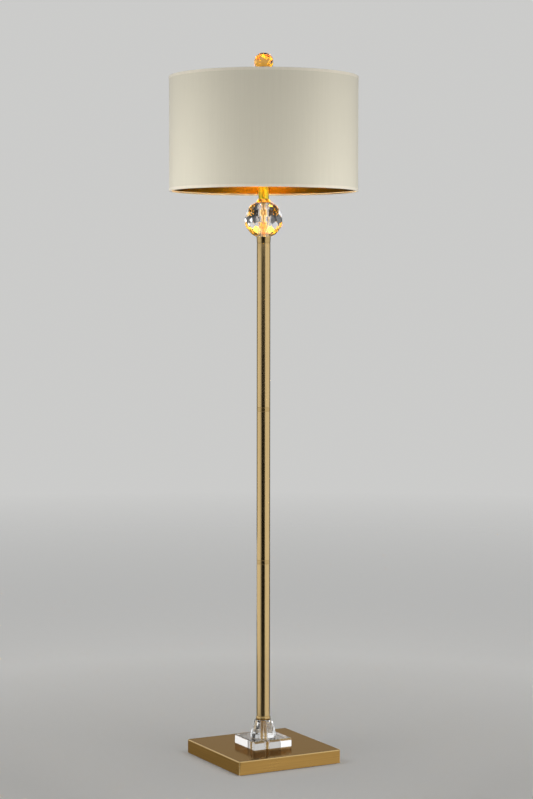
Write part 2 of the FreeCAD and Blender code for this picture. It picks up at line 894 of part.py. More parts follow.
pieces = {
    "floor_pad": floor_pad(),
    "base_shell": base_shell(),
    "ballast": ballast(),
    "bottom_plate": bottom_plate(),
    "bottom_plate_screws": bottom_plate_screws(),
    "cord_gland": cord_gland(),
    "cord_gland_nut": cord_gland_nut(),
    "stand_pipe": stand_pipe(),
    "stand_pipe_washer": stand_pipe_washer(),
    "stand_pipe_locknut": stand_pipe_locknut(),
    "crystal_plinth": crystal_plinth(),
    "crystal_foot": crystal_foot(),
    "lower_collar": lower_collar(),
    "column_tube_lower": column_tube(collar_top, lower_tube_top),
    "column_tube_middle": column_tube(middle_tube_bottom, middle_tube_top),
    "column_tube_upper": column_tube(upper_tube_bottom, upper_tube_top),
    "tube_inserts_lower": tube_inserts(collar_top, lower_tube_top),
    "tube_inserts_middle": tube_inserts(middle_tube_bottom, middle_tube_top),
    "tube_inserts_upper": tube_inserts(upper_tube_bottom, upper_tube_top),
    "joint_ring_lower": joint_ring(lower_tube_top),
    "joint_ring_upper": joint_ring(middle_tube_top),
    "joint_nipple_lower": joint_nipple(lower_tube_top),
    "joint_nipple_upper": joint_nipple(middle_tube_top),
    "ball_cup": ball_cup(),
    "ball_washer_lower": seat_washer(cup_top - seat_washer_thickness),
    "ball_washer_upper": seat_washer(ball_top),
    "crystal_ball": crystal_ball(),
    "ball_sleeve": ball_sleeve(),
    "ball_rod": ball_rod(),
    "ball_cap": ball_cap(),
    "neck_tube": neck_tube(),
    "harp_saddle": harp_saddle(),
    "harp": harp(),
    "ferrule_left": ferrule(-1),
    "ferrule_right": ferrule(1),
    "socket_cap": socket_cap(),
    "socket_shell": socket_shell(),
    "socket_liner": socket_liner(),
    "socket_body": socket_body(),
    "screw_shell": screw_shell(),
    "centre_contact": centre_contact(),
    "switch_spindle": switch_spindle(),
    "switch_knob": switch_knob(),
    "bulb_glass": bulb_glass(),
    "bulb_screw_cap": bulb_screw_cap(),
    "bulb_insulator": bulb_insulator(),
    "bulb_button": bulb_button(),
    "shade_cover": shade_wall(cover_radius, cover_thickness),
    "shade_lining": shade_wall(lining_radius, lining_thickness),
    "shade_top_frame": shade_top_frame(),
    "shade_bottom_ring": shade_bottom_ring(),
    "shade_trim_top": shade_trim_top(),
    "shade_trim_bottom": shade_trim(shade_bottom, 1),
    "finial_base": finial_base(),
    "finial_ball": finial_ball(),
    "lead": lead(),
    "terminal_block": terminal_block(),
}

os.makedirs("parts", exist_ok=True)
for name, shape in pieces.items():
    shape.exportStep("parts/" + name + ".step")
    print(name, len(shape.Solids), round(shape.Volume, 1), shape.isValid())
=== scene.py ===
# %% [markdown]
# # A column floor lamp with cut crystal and a drum shade
#
# The lamp is a stack: a square brass base, a crystal block and foot, a brass column, a crystal ball, a lit
# bulb inside a cream drum shade, and a crystal finial. The sizes come from the CAD frame that is loaded
# first, so every mesh made here lands on the piece it dresses. We keep the frame's box, and look up the body
# and the material slot of each of its nodes.

# %% Load the frame
import json
import math

import bmesh
import bpy
from mathutils import Matrix, Vector


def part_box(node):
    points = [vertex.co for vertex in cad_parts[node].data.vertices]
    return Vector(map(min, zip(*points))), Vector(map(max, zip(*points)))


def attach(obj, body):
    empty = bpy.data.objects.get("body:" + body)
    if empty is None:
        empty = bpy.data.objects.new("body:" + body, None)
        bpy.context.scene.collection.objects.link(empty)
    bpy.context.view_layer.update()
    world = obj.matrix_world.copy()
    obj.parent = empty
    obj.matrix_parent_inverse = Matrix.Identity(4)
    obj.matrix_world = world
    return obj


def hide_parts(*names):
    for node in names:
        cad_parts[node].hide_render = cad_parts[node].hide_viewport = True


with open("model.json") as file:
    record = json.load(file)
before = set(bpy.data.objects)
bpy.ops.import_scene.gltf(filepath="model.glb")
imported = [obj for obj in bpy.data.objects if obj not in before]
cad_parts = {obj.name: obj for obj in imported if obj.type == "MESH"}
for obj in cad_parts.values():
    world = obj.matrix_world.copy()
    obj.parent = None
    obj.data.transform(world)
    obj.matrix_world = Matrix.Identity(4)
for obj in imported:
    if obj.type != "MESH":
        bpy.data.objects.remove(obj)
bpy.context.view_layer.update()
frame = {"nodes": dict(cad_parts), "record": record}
slot_of = {part["node"]: part["material_slot"] for part in frame["record"]["subparts"]}
body_of = {}
for body, nodes in frame["record"]["behaviour"]["bodies"].items():
    body_of.update(dict.fromkeys(nodes, body))
mm = 0.001
FULL_TURN = 2 * math.pi
QUARTER = math.pi / 2
ORIGIN = Vector((0, 0, 0))
UP = Vector((0, 0, 1))

# %% [markdown]
# ## Node helpers
#
# A finish is a small network of shader nodes. Written out in full it is long, so these helpers add one node
# each and hand back its output socket. A value may be a number or another socket: `feed` sets or links it.


# %% Node helpers
WHOLE = (0.0, 1.0)


def feed(tree, target, value):
    if isinstance(value, bpy.types.NodeSocket):
        tree.links.new(value, target)
    else:
        target.default_value = value


def maths(tree, operation, first, second=0.0):
    node = tree.nodes.new("ShaderNodeMath")
    node.operation = operation
    feed(tree, node.inputs[0], first)
    feed(tree, node.inputs[1], second)
    return node.outputs[0]


def noise(tree, vector, scale, detail=2.0):
    node = tree.nodes.new("ShaderNodeTexNoise")
    feed(tree, node.inputs["Vector"], vector)
    feed(tree, node.inputs["Scale"], scale)
    node.inputs["Detail"].default_value = detail
    return node.outputs["Fac"]


def spread(tree, value, least, most, source=(0.3, 0.7)):
    """Stretches the source range over least to most. A noise stays near a half, so that is the default."""
    node = tree.nodes.new("ShaderNodeMapRange")
    feed(tree, node.inputs["Value"], value)
    for label, limit in zip(("From Min", "From Max", "To Min", "To Max"), (*source, least, most)):
        node.inputs[label].default_value = limit
    return node.outputs["Result"]


def mixed(tree, factor, first, second):
    """Mixes two colours, whose sockets come after the node's number and vector sockets."""
    node = tree.nodes.new("ShaderNodeMix")
    node.data_type = "RGBA"
    feed(tree, node.inputs["Factor"], factor)
    feed(tree, node.inputs[6], first)
    feed(tree, node.inputs[7], second)
    return node.outputs[2]


def stretched(tree, vector, scale):
    node = tree.nodes.new("ShaderNodeMapping")
    feed(tree, node.inputs["Vector"], vector)
    node.inputs["Scale"].default_value = scale
    return node.outputs["Vector"]


def raised(tree, height, depth, strength=1.0):
    """A bump whose full height is depth, in metres."""
    node = tree.nodes.new("ShaderNodeBump")
    node.inputs["Strength"].default_value = strength
    node.inputs["Distance"].default_value = depth
    feed(tree, node.inputs["Height"], height)
    return node.outputs["Normal"]


print("Node helpers are ready")

# %% [markdown]
# ## Groups and finishes
#
# An effect that several finishes share is built once as a node group with named sockets, and is placed in
# each material. A finish is always one Principled shader: its plain sockets are set by name, and its colour,
# roughness and normal are fed by what the material works out. Screen colours are easier to choose than
# linear ones, so `srgb` turns the one into the other.


# %% Groups and finishes
def new_group(name, inputs, outputs):
    """A node group with named sockets. Returns its tree, its inputs and its outputs."""
    tree = bpy.data.node_groups.new(name, "ShaderNodeTree")
    for label, kind in inputs:
        tree.interface.new_socket(label, in_out="INPUT", socket_type="NodeSocket" + kind)
    for label, kind in outputs:
        tree.interface.new_socket(label, in_out="OUTPUT", socket_type="NodeSocket" + kind)
    start = tree.nodes.new("NodeGroupInput")
    end = tree.nodes.new("NodeGroupOutput")
    return tree, start.outputs, end.inputs


def placed(tree, group, **values):
    """Puts a group in a tree and returns its output sockets."""
    node = tree.nodes.new("ShaderNodeGroup")
    node.node_tree = group
    for label, value in values.items():
        feed(tree, node.inputs[label.capitalize()], value)
    return node.outputs


def new_finish(name, **sockets):
    """A material with its Principled shader, whose plain sockets are set by name."""
    finish = bpy.data.materials.new(name)
    finish.use_nodes = True
    tree = finish.node_tree
    shader = tree.nodes["Principled BSDF"]
    for label, value in sockets.items():
        shader.inputs[label.replace("_", " ")].default_value = value
    spot = tree.nodes.new("ShaderNodeTexCoord")
    return finish, tree, shader.inputs, spot.outputs


def connect(tree, shader, colour, roughness, normal):
    feed(tree, shader["Base Color"], colour)
    feed(tree, shader["Roughness"], roughness)
    feed(tree, shader["Normal"], normal)


def srgb(red, green, blue):
    """A screen colour from 0 to 255 as the linear colour that shaders use."""
    def linear(value):
        share = value / 255
        if share <= 0.04045:
            return share / 12.92
        return ((share + 0.055) / 1.055) ** 2.4
    return (linear(red), linear(green), linear(blue), 1.0)


def dimmed(colour, share):
    return tuple(share * value for value in colour[:3]) + (1.0,)


print("Group and finish helpers are ready")

# %% [markdown]
# ## Shared effects
#
# Three effects turn up on many finishes, so each is one node group. *Grain* is the long fine scratching of
# brushed or drawn metal: a noise on coordinates that the material has already stretched. *Handling* is the
# soft smudging and the specks that any touched surface has. *Skin* is the tight pebbling of moulded, cast
# and felted things. They put out values only; the material decides what these do to its shader.

# %% Shared effects
grain, begin, end = new_group(
    "grain", [("Vector", "Vector")], [("Tone", "Float"), ("Height", "Float")]
)
hairlines = noise(grain, begin["Vector"], 1.0, 4.0)
bands = noise(grain, begin["Vector"], 0.23, 1.0)
fine_share = maths(grain, "MULTIPLY", hairlines, 0.6)
broad_share = maths(grain, "MULTIPLY", bands, 0.4)
feed(grain, end["Tone"], maths(grain, "ADD", fine_share, broad_share))
feed(grain, end["Height"], hairlines)

handling, begin, end = new_group(
    "handling", [("Vector", "Vector"), ("Size", "Float")], [("Smudge", "Float"), ("Specks", "Float")]
)
smudges = noise(handling, begin["Vector"], maths(handling, "DIVIDE", 1.0, begin["Size"]), 3.0)
specks = noise(handling, begin["Vector"], maths(handling, "DIVIDE", 30.0, begin["Size"]), 1.0)
feed(handling, end["Smudge"], spread(handling, smudges, *WHOLE))
feed(handling, end["Specks"], spread(handling, specks, *WHOLE, (0.66, 0.72)))

skin, begin, end = new_group(
    "skin", [("Vector", "Vector"), ("Size", "Float")], [("Tone", "Float"), ("Height", "Float")]
)
pebbles = noise(skin, begin["Vector"], maths(skin, "DIVIDE", 1.0, begin["Size"]), 3.0)
clouds = noise(skin, begin["Vector"], maths(skin, "DIVIDE", 0.06, begin["Size"]), 2.0)
both = maths(skin, "MULTIPLY", maths(skin, "ADD", pebbles, clouds), 0.5)
feed(skin, end["Tone"], spread(skin, both, *WHOLE))
feed(skin, end["Height"], pebbles)
print("Shared effects:", ", ".join(group.name for group in (grain, handling, skin)))

# %% [markdown]
# ## Metal finishes
#
# Brass on the column is satin: drawn lengthwise and lacquered, so it mirrors the studio as soft upright
# bands. The base is an antiqued brass, browner and brushed along its sides. One function makes them all: a
# colour and a darker tone of it mixed by the grain, a roughness that the smudges lift, and a bump from the
# scratches. Only the direction of the brushing differs, which is the stretch of the Object coordinates.

# %% Metal finishes
smudge_size = 0.07
speck_share = 0.2
scratch_swing = 0.02
grain_range = (0.36, 0.64)


def metal(name, bright, dull, roughness, brushing, depth=2e-6, **sockets):
    finish, tree, shader, spot = new_finish(name, Metallic=1.0, **sockets)
    brushed = placed(tree, grain, vector=stretched(tree, spot["Object"], brushing))
    touched = placed(tree, handling, vector=spot["Object"], size=smudge_size)
    coated = mixed(tree, spread(tree, brushed["Tone"], *WHOLE, grain_range), dull, bright)
    worn = mixed(tree, maths(tree, "MULTIPLY", touched["Specks"], speck_share), coated, dull)
    smudged = spread(tree, touched["Smudge"], *roughness, WHOLE)
    scratched = spread(tree, brushed["Tone"], -scratch_swing, scratch_swing)
    bump = raised(tree, brushed["Height"], depth)
    connect(tree, shader, worn, maths(tree, "ADD", smudged, scratched), bump)
    return finish


lengthwise = (900, 900, 14)
sideways = (14, 14, 1100)
along_x = (10, 1100, 1100)
every_way = (120, 120, 120)
antique_glance = (0.65, 0.55, 0.48, 1)
satin_brass = metal(
    "satin_brass", (0.55, 0.40, 0.19, 1), (0.49, 0.35, 0.16, 1), (0.15, 0.18), lengthwise, 8e-7
)
lathe_brass = metal("lathe_brass", (0.48, 0.34, 0.15, 1), (0.42, 0.29, 0.12, 1), (0.15, 0.21), sideways)
base_side_brass = metal(
    "base_side_brass", (0.40, 0.235, 0.066, 1), (0.33, 0.19, 0.054, 1), (0.26, 0.36), sideways,
    Specular_Tint=antique_glance,
)
base_top_brass = metal(
    "base_top_brass", (0.40, 0.262, 0.074, 1), (0.36, 0.234, 0.065, 1), (0.09, 0.14), along_x, 4e-7,
    Specular_Tint=antique_glance,
)
# A brighter brass for the base's bevels and corners: a painted highlight along the edges
highlight_edge_brass = metal("highlight_edge_brass", (0.60, 0.43, 0.19, 1), (0.52, 0.36, 0.16, 1), (0.24, 0.32), sideways)
# A greenish yellow brass for the neck: painted glow, the bright yellow that the bulb's light gives it
neck_brass_painted_glow = metal("neck_brass_painted_glow", (0.74, 0.75, 0.07, 1), (0.68, 0.69, 0.06, 1), (0.24, 0.30), lengthwise)
cap_brass = metal("cap_brass", (0.66, 0.40, 0.09, 1), (0.58, 0.34, 0.07, 1), (0.30, 0.38), sideways)
sleeve_brass = metal("sleeve_brass", (0.84, 0.48, 0.14, 1), (0.70, 0.38, 0.10, 1), (0.34, 0.42), sideways)
pipe_brass = metal("pipe_brass", (0.78, 0.50, 0.16, 1), (0.62, 0.38, 0.11, 1), (0.22, 0.32), sideways)
socket_brass = metal("socket_brass", (0.72, 0.54, 0.24, 1), (0.56, 0.40, 0.16, 1), (0.22, 0.32), sideways)
zinc_plate = metal("zinc_plate", (0.62, 0.64, 0.66, 1), (0.48, 0.50, 0.53, 1), (0.30, 0.45), every_way)
bulb_alloy = metal("bulb_alloy", (0.72, 0.72, 0.72, 1), (0.55, 0.55, 0.55, 1), (0.25, 0.38), sideways)
print("Metal finishes: ten brasses, zinc plate and the bulb's alloy")

# %% [markdown]
# ## Crystal finishes
#
# The block, the foot and the ball are clear lead crystal, ground flat and polished: the look is all in the
# flat facets, so the finish is plain glass with a touch of uneven polish. The hole drilled through it is
# left ground, which is why it shows as two white bands beside the pipe. The finial's glass is tinted amber,
# a painted glow that stands for the warm light of the lit shade shining through it.

# %% Crystal finishes
crystal_index = 1.55
crystal_smudges = 0.03
smudge_tint = 0.97
ripple_scale = 90.0
ripple_depth = 4e-6


def crystal(name, colour, polish):
    finish, tree, shader, spot = new_finish(name, Transmission_Weight=1.0, IOR=crystal_index)
    smudge = placed(tree, handling, vector=spot["Object"], size=crystal_smudges)["Smudge"]
    tint = mixed(tree, smudge, colour, dimmed(colour, smudge_tint))
    ripple = raised(tree, noise(tree, spot["Object"], ripple_scale, 1.0), ripple_depth)
    connect(tree, shader, tint, spread(tree, smudge, *polish, WHOLE), ripple)
    return finish


clear_crystal = crystal("clear_crystal", (0.99, 0.995, 1.0, 1), (0.0, 0.015))
ground_bore = crystal("ground_bore", (0.97, 0.97, 0.97, 1), (0.42, 0.55))
# The amber tint is a painted glow: the warm light of the lit shade seen in the finial
amber_crystal = crystal("amber_crystal", (1.0, 0.52, 0.09, 1), (0.0, 0.02))
print("Crystal finishes:", clear_crystal.name, ground_bore.name, amber_crystal.name)

# %% [markdown]
# ## Cloth
#
# The drum is covered in a cream slub cloth: a plain weave whose upright threads are of uneven thickness, so
# the light catches faint upright streaks. The threads follow the cloth, so the pattern is laid on a UV map
# in metres, which the cover gets when it is made. The tape of the hems is a coarser weave of the same kind.

# %% Cloth
weave, begin, end = new_group(
    "weave", [("Vector", "Vector"), ("Pitch", "Float")], [("Tone", "Float"), ("Height", "Float")]
)
across = weave.nodes.new("ShaderNodeSeparateXYZ")
feed(weave, across.inputs["Vector"], begin["Vector"])
turns = maths(weave, "DIVIDE", FULL_TURN, begin["Pitch"])
warp = maths(weave, "SINE", maths(weave, "MULTIPLY", across.outputs["X"], turns))
weft = maths(weave, "SINE", maths(weave, "MULTIPLY", across.outputs["Y"], turns))
slubs = noise(weave, stretched(weave, begin["Vector"], (700, 9, 1)), 1.0, 3.0)
broad = noise(weave, stretched(weave, begin["Vector"], (140, 2.5, 1)), 1.0, 2.0)
streaks = maths(weave, "ADD", maths(weave, "MULTIPLY", slubs, 0.7), maths(weave, "MULTIPLY", broad, 0.3))
feed(weave, end["Tone"], spread(weave, streaks, *WHOLE, grain_range))
threads = maths(weave, "MULTIPLY", maths(weave, "MULTIPLY", warp, weft), 0.25)
feed(weave, end["Height"], maths(weave, "ADD", threads, maths(weave, "MULTIPLY", streaks, 0.35)))


def cloth(name, light, shade, pitch):
    finish, tree, shader, spot = new_finish(name, Sheen_Weight=0.25, Sheen_Roughness=0.4)
    woven = placed(tree, weave, vector=spot["UV"], pitch=pitch)
    colour = mixed(tree, woven["Tone"], shade, light)
    roughness = spread(tree, woven["Tone"], 0.78, 0.9, WHOLE)
    connect(tree, shader, colour, roughness, raised(tree, woven["Height"], 6e-5, 0.6))
    return finish


cream_cloth = cloth("cream_cloth", srgb(219, 213, 194), srgb(216, 210, 191), 0.6 * mm)
cream_tape = cloth("cream_tape", srgb(233, 226, 208), srgb(228, 220, 202), 0.9 * mm)
# A darker copy of the hem tape for its inner turn-in: painted shade inside the drum
shaded_inner_tape = cloth("shaded_inner_tape", srgb(146, 130, 110), srgb(136, 120, 101), 0.9 * mm)
print("Cloth:", cream_cloth.name, cream_tape.name, shaded_inner_tape.name)

# %% [markdown]
# ## Everything else
#
# The shade is lined with gold foil on card, which has a slight crinkle. The foil's colour is darkened to a
# deep orange brown, painted shade as if a dark room stood round the lamp. Under the base lies dark felt.
# The gland, the knob and the socket's inside are black moulded plastic, and the hidden pieces are rubber,
# fibre, cast iron and cable sheath. They are all one recipe, the pebbled skin in several sizes. The bulb is
# frosted glass that gives warm light.

# %% Everything else
warm = (1.0, 0.82, 0.46)


def moulded(name, colour, roughness, pebble, depth, fleck=0.75, **sockets):
    finish, tree, shader, spot = new_finish(name, **sockets)
    surface = placed(tree, skin, vector=spot["Object"], size=pebble)
    flecked = mixed(tree, surface["Tone"], dimmed(colour, fleck), colour)
    uneven = spread(tree, surface["Tone"], *roughness, WHOLE)
    connect(tree, shader, flecked, uneven, raised(tree, surface["Height"], depth))
    return finish


# The foil is darkened to a deep orange brown: painted shade, as if the room round the lamp were dark
gold_foil_painted_shade = moulded("gold_foil_painted_shade", (0.32, 0.168, 0.010, 1), (0.21, 0.27), 4 * mm, 2e-5, 0.844, Metallic=1.0)
dark_felt = moulded("dark_felt", srgb(46, 42, 40), (0.9, 1.0), 0.5 * mm, 2e-4, 0.5, Sheen_Weight=0.3)
black_plastic = moulded("black_plastic", srgb(34, 33, 32), (0.38, 0.5), 0.3 * mm, 1e-5)
washer_rubber = moulded("washer_rubber", srgb(222, 219, 212), (0.35, 0.5), 0.6 * mm, 1e-5, 0.92)
fibre_card = moulded("fibre_card", srgb(188, 170, 138), (0.7, 0.85), 0.8 * mm, 3e-5)
cast_iron = moulded("cast_iron", srgb(74, 72, 70), (0.6, 0.8), 1.5 * mm, 2e-4, 0.6, Metallic=0.6)
lead_sheath = moulded("lead_sheath", srgb(225, 212, 173), (0.25, 0.4), 1.0 * mm, 1e-5, 0.85)
powder_coat = moulded("powder_coat", srgb(231, 223, 203), (0.4, 0.52), 0.7 * mm, 4e-5, 0.92)
terminal_plastic = moulded("terminal_plastic", srgb(226, 224, 216), (0.35, 0.5), 0.4 * mm, 1e-5)
black_glass = moulded("black_glass", srgb(20, 19, 20), (0.12, 0.2), 2.0 * mm, 1e-5)
bulb_frost = moulded(
    "bulb_frost", srgb(250, 244, 230), (0.45, 0.6), 0.4 * mm, 1e-5, 0.96,
    Emission_Color=(*warm, 1.0), Emission_Strength=3.0,
)
print("Other finishes:", gold_foil_painted_shade.name, "to", bulb_frost.name)

# %% [markdown]
# ## Measures and pieces
#
# Each piece is measured on the CAD node that it dresses: how low and how high it reaches, and how far out
# from the axis. `make_piece` finishes every mesh in the same way. It merges doubled points, turns the faces
# outwards, keeps sharp edges sharp and puts the mesh in the scene on its node's body. Weighted normals keep
# a broad flat face flat in the shading, although fine bevels border it.

# %% Measures and pieces
MERGE = 1e-6
SHARP = math.radians(28)
FLAT_WEIGHT = 90


def low(node):
    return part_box(node)[0].z


def high(node):
    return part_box(node)[1].z


def height_of(node):
    return high(node) - low(node)


def radius_of(node):
    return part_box(node)[1].x


def in_scene(name, data):
    thing = bpy.data.objects.new(name, data)
    bpy.context.scene.collection.objects.link(thing)
    return thing


def mesh_in_scene(bm, name, finishes):
    mesh = bpy.data.meshes.new(name)
    bm.to_mesh(mesh)
    bm.free()
    for finish in finishes:
        mesh.materials.append(finish)
    return in_scene(name, mesh)


def make_piece(bm, name, node, *finishes, extra=False, facets=False):
    """Makes the piece that stands for a CAD node, or an extra piece beside that one."""
    bmesh.ops.remove_doubles(bm, verts=bm.verts[:], dist=MERGE)
    bmesh.ops.recalc_face_normals(bm, faces=bm.faces[:])
    for face in bm.faces:
        face.smooth = not facets
    for edge in bm.edges:
        edge.smooth = len(edge.link_faces) == 2 and edge.calc_face_angle() < SHARP
    gaps = sum(not edge.is_manifold for edge in bm.edges)
    piece = mesh_in_scene(bm, name, finishes)
    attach(piece, body_of[node])
    if not extra:
        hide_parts(node)
    if not facets:
        flats = piece.modifiers.new("flats stay flat", "WEIGHTED_NORMAL")
        flats.weight = FLAT_WEIGHT
        flats.keep_sharp = True
    print(f"{name}: {len(piece.data.polygons)} faces, {gaps} open edges")
    return piece


# %% [markdown]
# ## Turning
#
# Most of the lamp is turned on a lathe, so most meshes are an outline spun about the axis. An outline is a
# ring of (radius, height) points above some level; a third number rounds that corner with a vertex bevel
# before the spin. An outline that ends on the axis is left open, because the spin closes it there.

# %% Turning
ROUND_STEPS = 96
MIDDLE_STEPS = 64
SMALL_STEPS = 48
CORNER_STEPS = 4


def spin(bm, geom, steps, angle=FULL_TURN, centre=ORIGIN, axis=UP, climb=ORIGIN):
    return bmesh.ops.spin(
        bm, geom=geom, cent=centre, axis=axis, dvec=climb, angle=angle, steps=steps,
        use_merge=angle == FULL_TURN and not any(climb), use_duplicate=False,
    )


def turned(outline, level=0.0, closed=True, steps=ROUND_STEPS):
    """Spins an outline of (radius, height) points, with corners rounded by a third number."""
    bm = bmesh.new()
    corners = [bm.verts.new((point[0], 0, level + point[1])) for point in outline]
    following = corners[1:] + corners[:1] if closed else corners[1:]
    for pair in zip(corners, following):
        bm.edges.new(pair)
    for corner, point in zip(corners, outline):
        if len(point) == 3:
            bmesh.ops.bevel(
                bm, geom=[corner], offset=point[2], segments=CORNER_STEPS, profile=0.5,
                affect="VERTICES", offset_type="OFFSET", material=-1,
            )
    spin(bm, bm.verts[:] + bm.edges[:], steps)
    return bm


print("A full round has", SMALL_STEPS, "to", ROUND_STEPS, "steps")

# %% [markdown]
# ## Blocks and holes
#
# The base, its pad and the crystals start as blocks. `bevel` takes off the edges that are picked by how they
# lie, upright or level with some height. A hole is drilled between two flat faces: a ring is drawn on each,
# each face is filled again round its ring, and the two rings are bridged, which makes the wall.

# %% Blocks and holes
ALONG = 0.999


def bevel(bm, edges, width, segments):
    bmesh.ops.bevel(
        bm, geom=edges, offset=width, segments=segments, profile=0.5,
        affect="EDGES", offset_type="OFFSET", material=-1, clamp_overlap=True,
    )


def upright(edge):
    here, there = (vert.co for vert in edge.verts)
    return (here - there).xy.length < MERGE


def level_with(edge, height):
    return all(abs(vert.co.z - height) < MERGE for vert in edge.verts)


def block(side, bottom, top):
    bm = bmesh.new()
    bmesh.ops.create_cube(bm, size=1.0)
    bmesh.ops.scale(bm, vec=(side, side, top - bottom), verts=bm.verts[:])
    bmesh.ops.translate(bm, vec=(0, 0, (bottom + top) / 2), verts=bm.verts[:])
    return bm


def aimed(direction):
    """The rotation that turns the Z axis to a direction."""
    return direction.to_track_quat("Z", "Y").to_matrix().to_4x4()


def ring_edges(bm, sides, radius, place, capped=False):
    """Draws a ring of points at a place and returns its edges."""
    ring = bmesh.ops.create_circle(bm, cap_ends=capped, segments=sides, radius=radius, matrix=place)["verts"]
    return list(dict.fromkeys(edge for vert in ring for edge in vert.link_edges))


def flat_face(bm, direction):
    """The largest face that looks along a direction, and the outermost of equal ones."""
    def rank(face):
        return round(face.calc_area(), 9), face.calc_center_median().dot(direction)
    return max((face for face in bm.faces if face.normal.dot(direction) > ALONG), key=rank)


def drill(bm, faces, point, axis, radius):
    """Opens a round hole between two flat faces, and returns the faces of its wall."""
    rims = []
    for face in faces:
        reach = (face.calc_center_median() - point).dot(axis)
        rim = ring_edges(bm, SMALL_STEPS, radius, Matrix.Translation(point + axis * reach) @ aimed(axis))
        border = list(face.edges)
        bmesh.ops.delete(bm, geom=[face], context="FACES_ONLY")
        bmesh.ops.triangle_fill(bm, edges=border + rim, use_beauty=True)
        rims += rim
    return bmesh.ops.bridge_loops(bm, edges=rims)["faces"]


print("Block and hole helpers are ready")

# %% [markdown]
# ## The felt pad and the pressed base
#
# The base is a shallow square box pressed from brass sheet, with round upright corners and a fine bevel
# round the top. The bevels and the upright corners take a brighter brass, a painted highlight along the
# edges; the top takes a smoother brass and the sides a browner one. A cube is bevelled twice, then its
# underside is inset and pushed up, which leaves a wall all round. Two holes are drilled: one for the pipe,
# one for the gland.
# The felt pad is smaller than the base and leaves a dark shadow gap above the floor.

# %% The felt pad
base_round = 5.5 * mm


def rounded_block(node, corner_steps, ease, ease_steps):
    """A square block that fills its node's box, with round upright corners and an eased upper edge."""
    bm = block(2 * radius_of(node), low(node), high(node))
    bevel(bm, [edge for edge in bm.edges if upright(edge)], base_round, corner_steps)
    bevel(bm, [edge for edge in bm.edges if level_with(edge, high(node))], ease, ease_steps)
    return bm


pad = rounded_block("floor_pad", corner_steps=5, ease=0.5 * mm, ease_steps=2)
felt_pad = make_piece(pad, "felt_pad", "floor_pad", dark_felt)

# %% The pressed base
base_wall = 1.5 * mm
pipe_hole = radius_of("stand_pipe") + 0.25 * mm
base = rounded_block("base_shell", corner_steps=8, ease=2 * mm, ease_steps=4)
under = flat_face(base, -UP)
bmesh.ops.inset_region(base, faces=[under], thickness=base_wall, use_even_offset=True)
ceiling = bmesh.ops.extrude_discrete_faces(base, faces=[under])["faces"][0]
bmesh.ops.translate(base, vec=UP * (height_of("base_shell") - base_wall), verts=ceiling.verts[:])
drill(base, [ceiling, flat_face(base, UP)], ORIGIN, UP, pipe_hole)

base_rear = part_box("base_shell")[1].y
gland_low, gland_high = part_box("cord_gland")
gland_middle = (gland_low + gland_high) / 2
gland_hole = 5.25 * mm
rear_half = [face for face in base.faces if face.calc_center_median().y > base_rear / 2]
rear_wall = [face for face in rear_half if abs(face.normal.y) > ALONG]
drill(base, rear_wall, gland_middle, Vector((0, 1, 0)), gland_hole)
print("The base is drilled, with", len(base.faces), "faces")

# %% The base's three brasses
TOP = 1
HIGHLIGHT_EDGE = 2
# The bevels and the upright corners take the brighter brass, a painted highlight
for face in base.faces:
    flat_on_top = face.normal.z > 0.99
    on_a_bevel = face.normal.z > 0.1
    on_a_corner = max(abs(share) for share in face.normal) < 0.85
    if flat_on_top:
        face.material_index = TOP
    elif on_a_bevel or on_a_corner:
        face.material_index = HIGHLIGHT_EDGE
make_piece(base, "pressed_base", "base_shell", base_side_brass, base_top_brass, highlight_edge_brass)

# %% [markdown]
# ## The cord gland
#
# A black plastic bushing lines the cord's hole in the rear side. It is turned like the brass pieces and then
# laid on its side, so its outline is written along its own axis and rotated to face the rear.

# %% The cord gland
gland_bore = 3.7 * mm
gland_thread = 5 * mm
gland_flange = gland_high.x
wall_face = base_rear - gland_low.y
gland_length = gland_high.y - gland_low.y
gland = turned([
    (gland_bore, 0, 0.4 * mm), (gland_thread, 0, 0.4 * mm), (gland_thread, wall_face),
    (gland_flange, wall_face), (gland_flange, gland_length, 0.9 * mm), (gland_bore, gland_length, 0.8 * mm),
], steps=MIDDLE_STEPS)
to_rear = Matrix.Translation((0, gland_low.y, gland_middle.z)) @ Matrix.Rotation(-QUARTER, 4, "X")
bmesh.ops.transform(gland, matrix=to_rear, verts=gland.verts[:])
make_piece(gland, "gland_bushing", "cord_gland", black_plastic)

# %% [markdown]
# ## The pipes inside the crystal
#
# Two brass pipes hold the lamp together, and both show through crystal: one in the foot, one in the ball.
# The one in the ball wears a brass sleeve, which keeps the clamped crystal from being squeezed. All three
# are plain tubes, spun from a four-point outline.

# %% The pipes inside the crystal
pipe_bore = 3.5 * mm
pipe_room = 5.25 * mm


def tube(node, bore, ease, steps=ROUND_STEPS):
    """A plain tube as wide and as long as its node, with its four edges eased."""
    radius = radius_of(node)
    length = height_of(node)
    ends = [(bore, 0, ease), (radius, 0, ease), (radius, length, ease), (bore, length, ease)]
    return turned(ends, low(node), steps=steps)


for name, node, bore, finish in (
    ("foot_pipe", "stand_pipe", pipe_bore, pipe_brass),
    ("ball_pipe", "ball_rod", pipe_bore, pipe_brass),
    ("ball_tube", "ball_sleeve", pipe_room, sleeve_brass),
):
    make_piece(tube(node, bore, 0.4 * mm, SMALL_STEPS), name, node, finish)

# %% [markdown]
# ## The crystal block and foot
#
# The block is a square of crystal with ground edges. The foot is an eight-sided bell: a ring of eight
# corners is extruded upwards and scaled at each level, so its sides stay flat. Both are drilled for the
# pipe, and the wall of the hole takes the ground finish. A hair of air is left under each piece, because
# crystal that rests on brass mirrors its own inside there. Fine bevels stand for the polished edges, which
# catch the light.


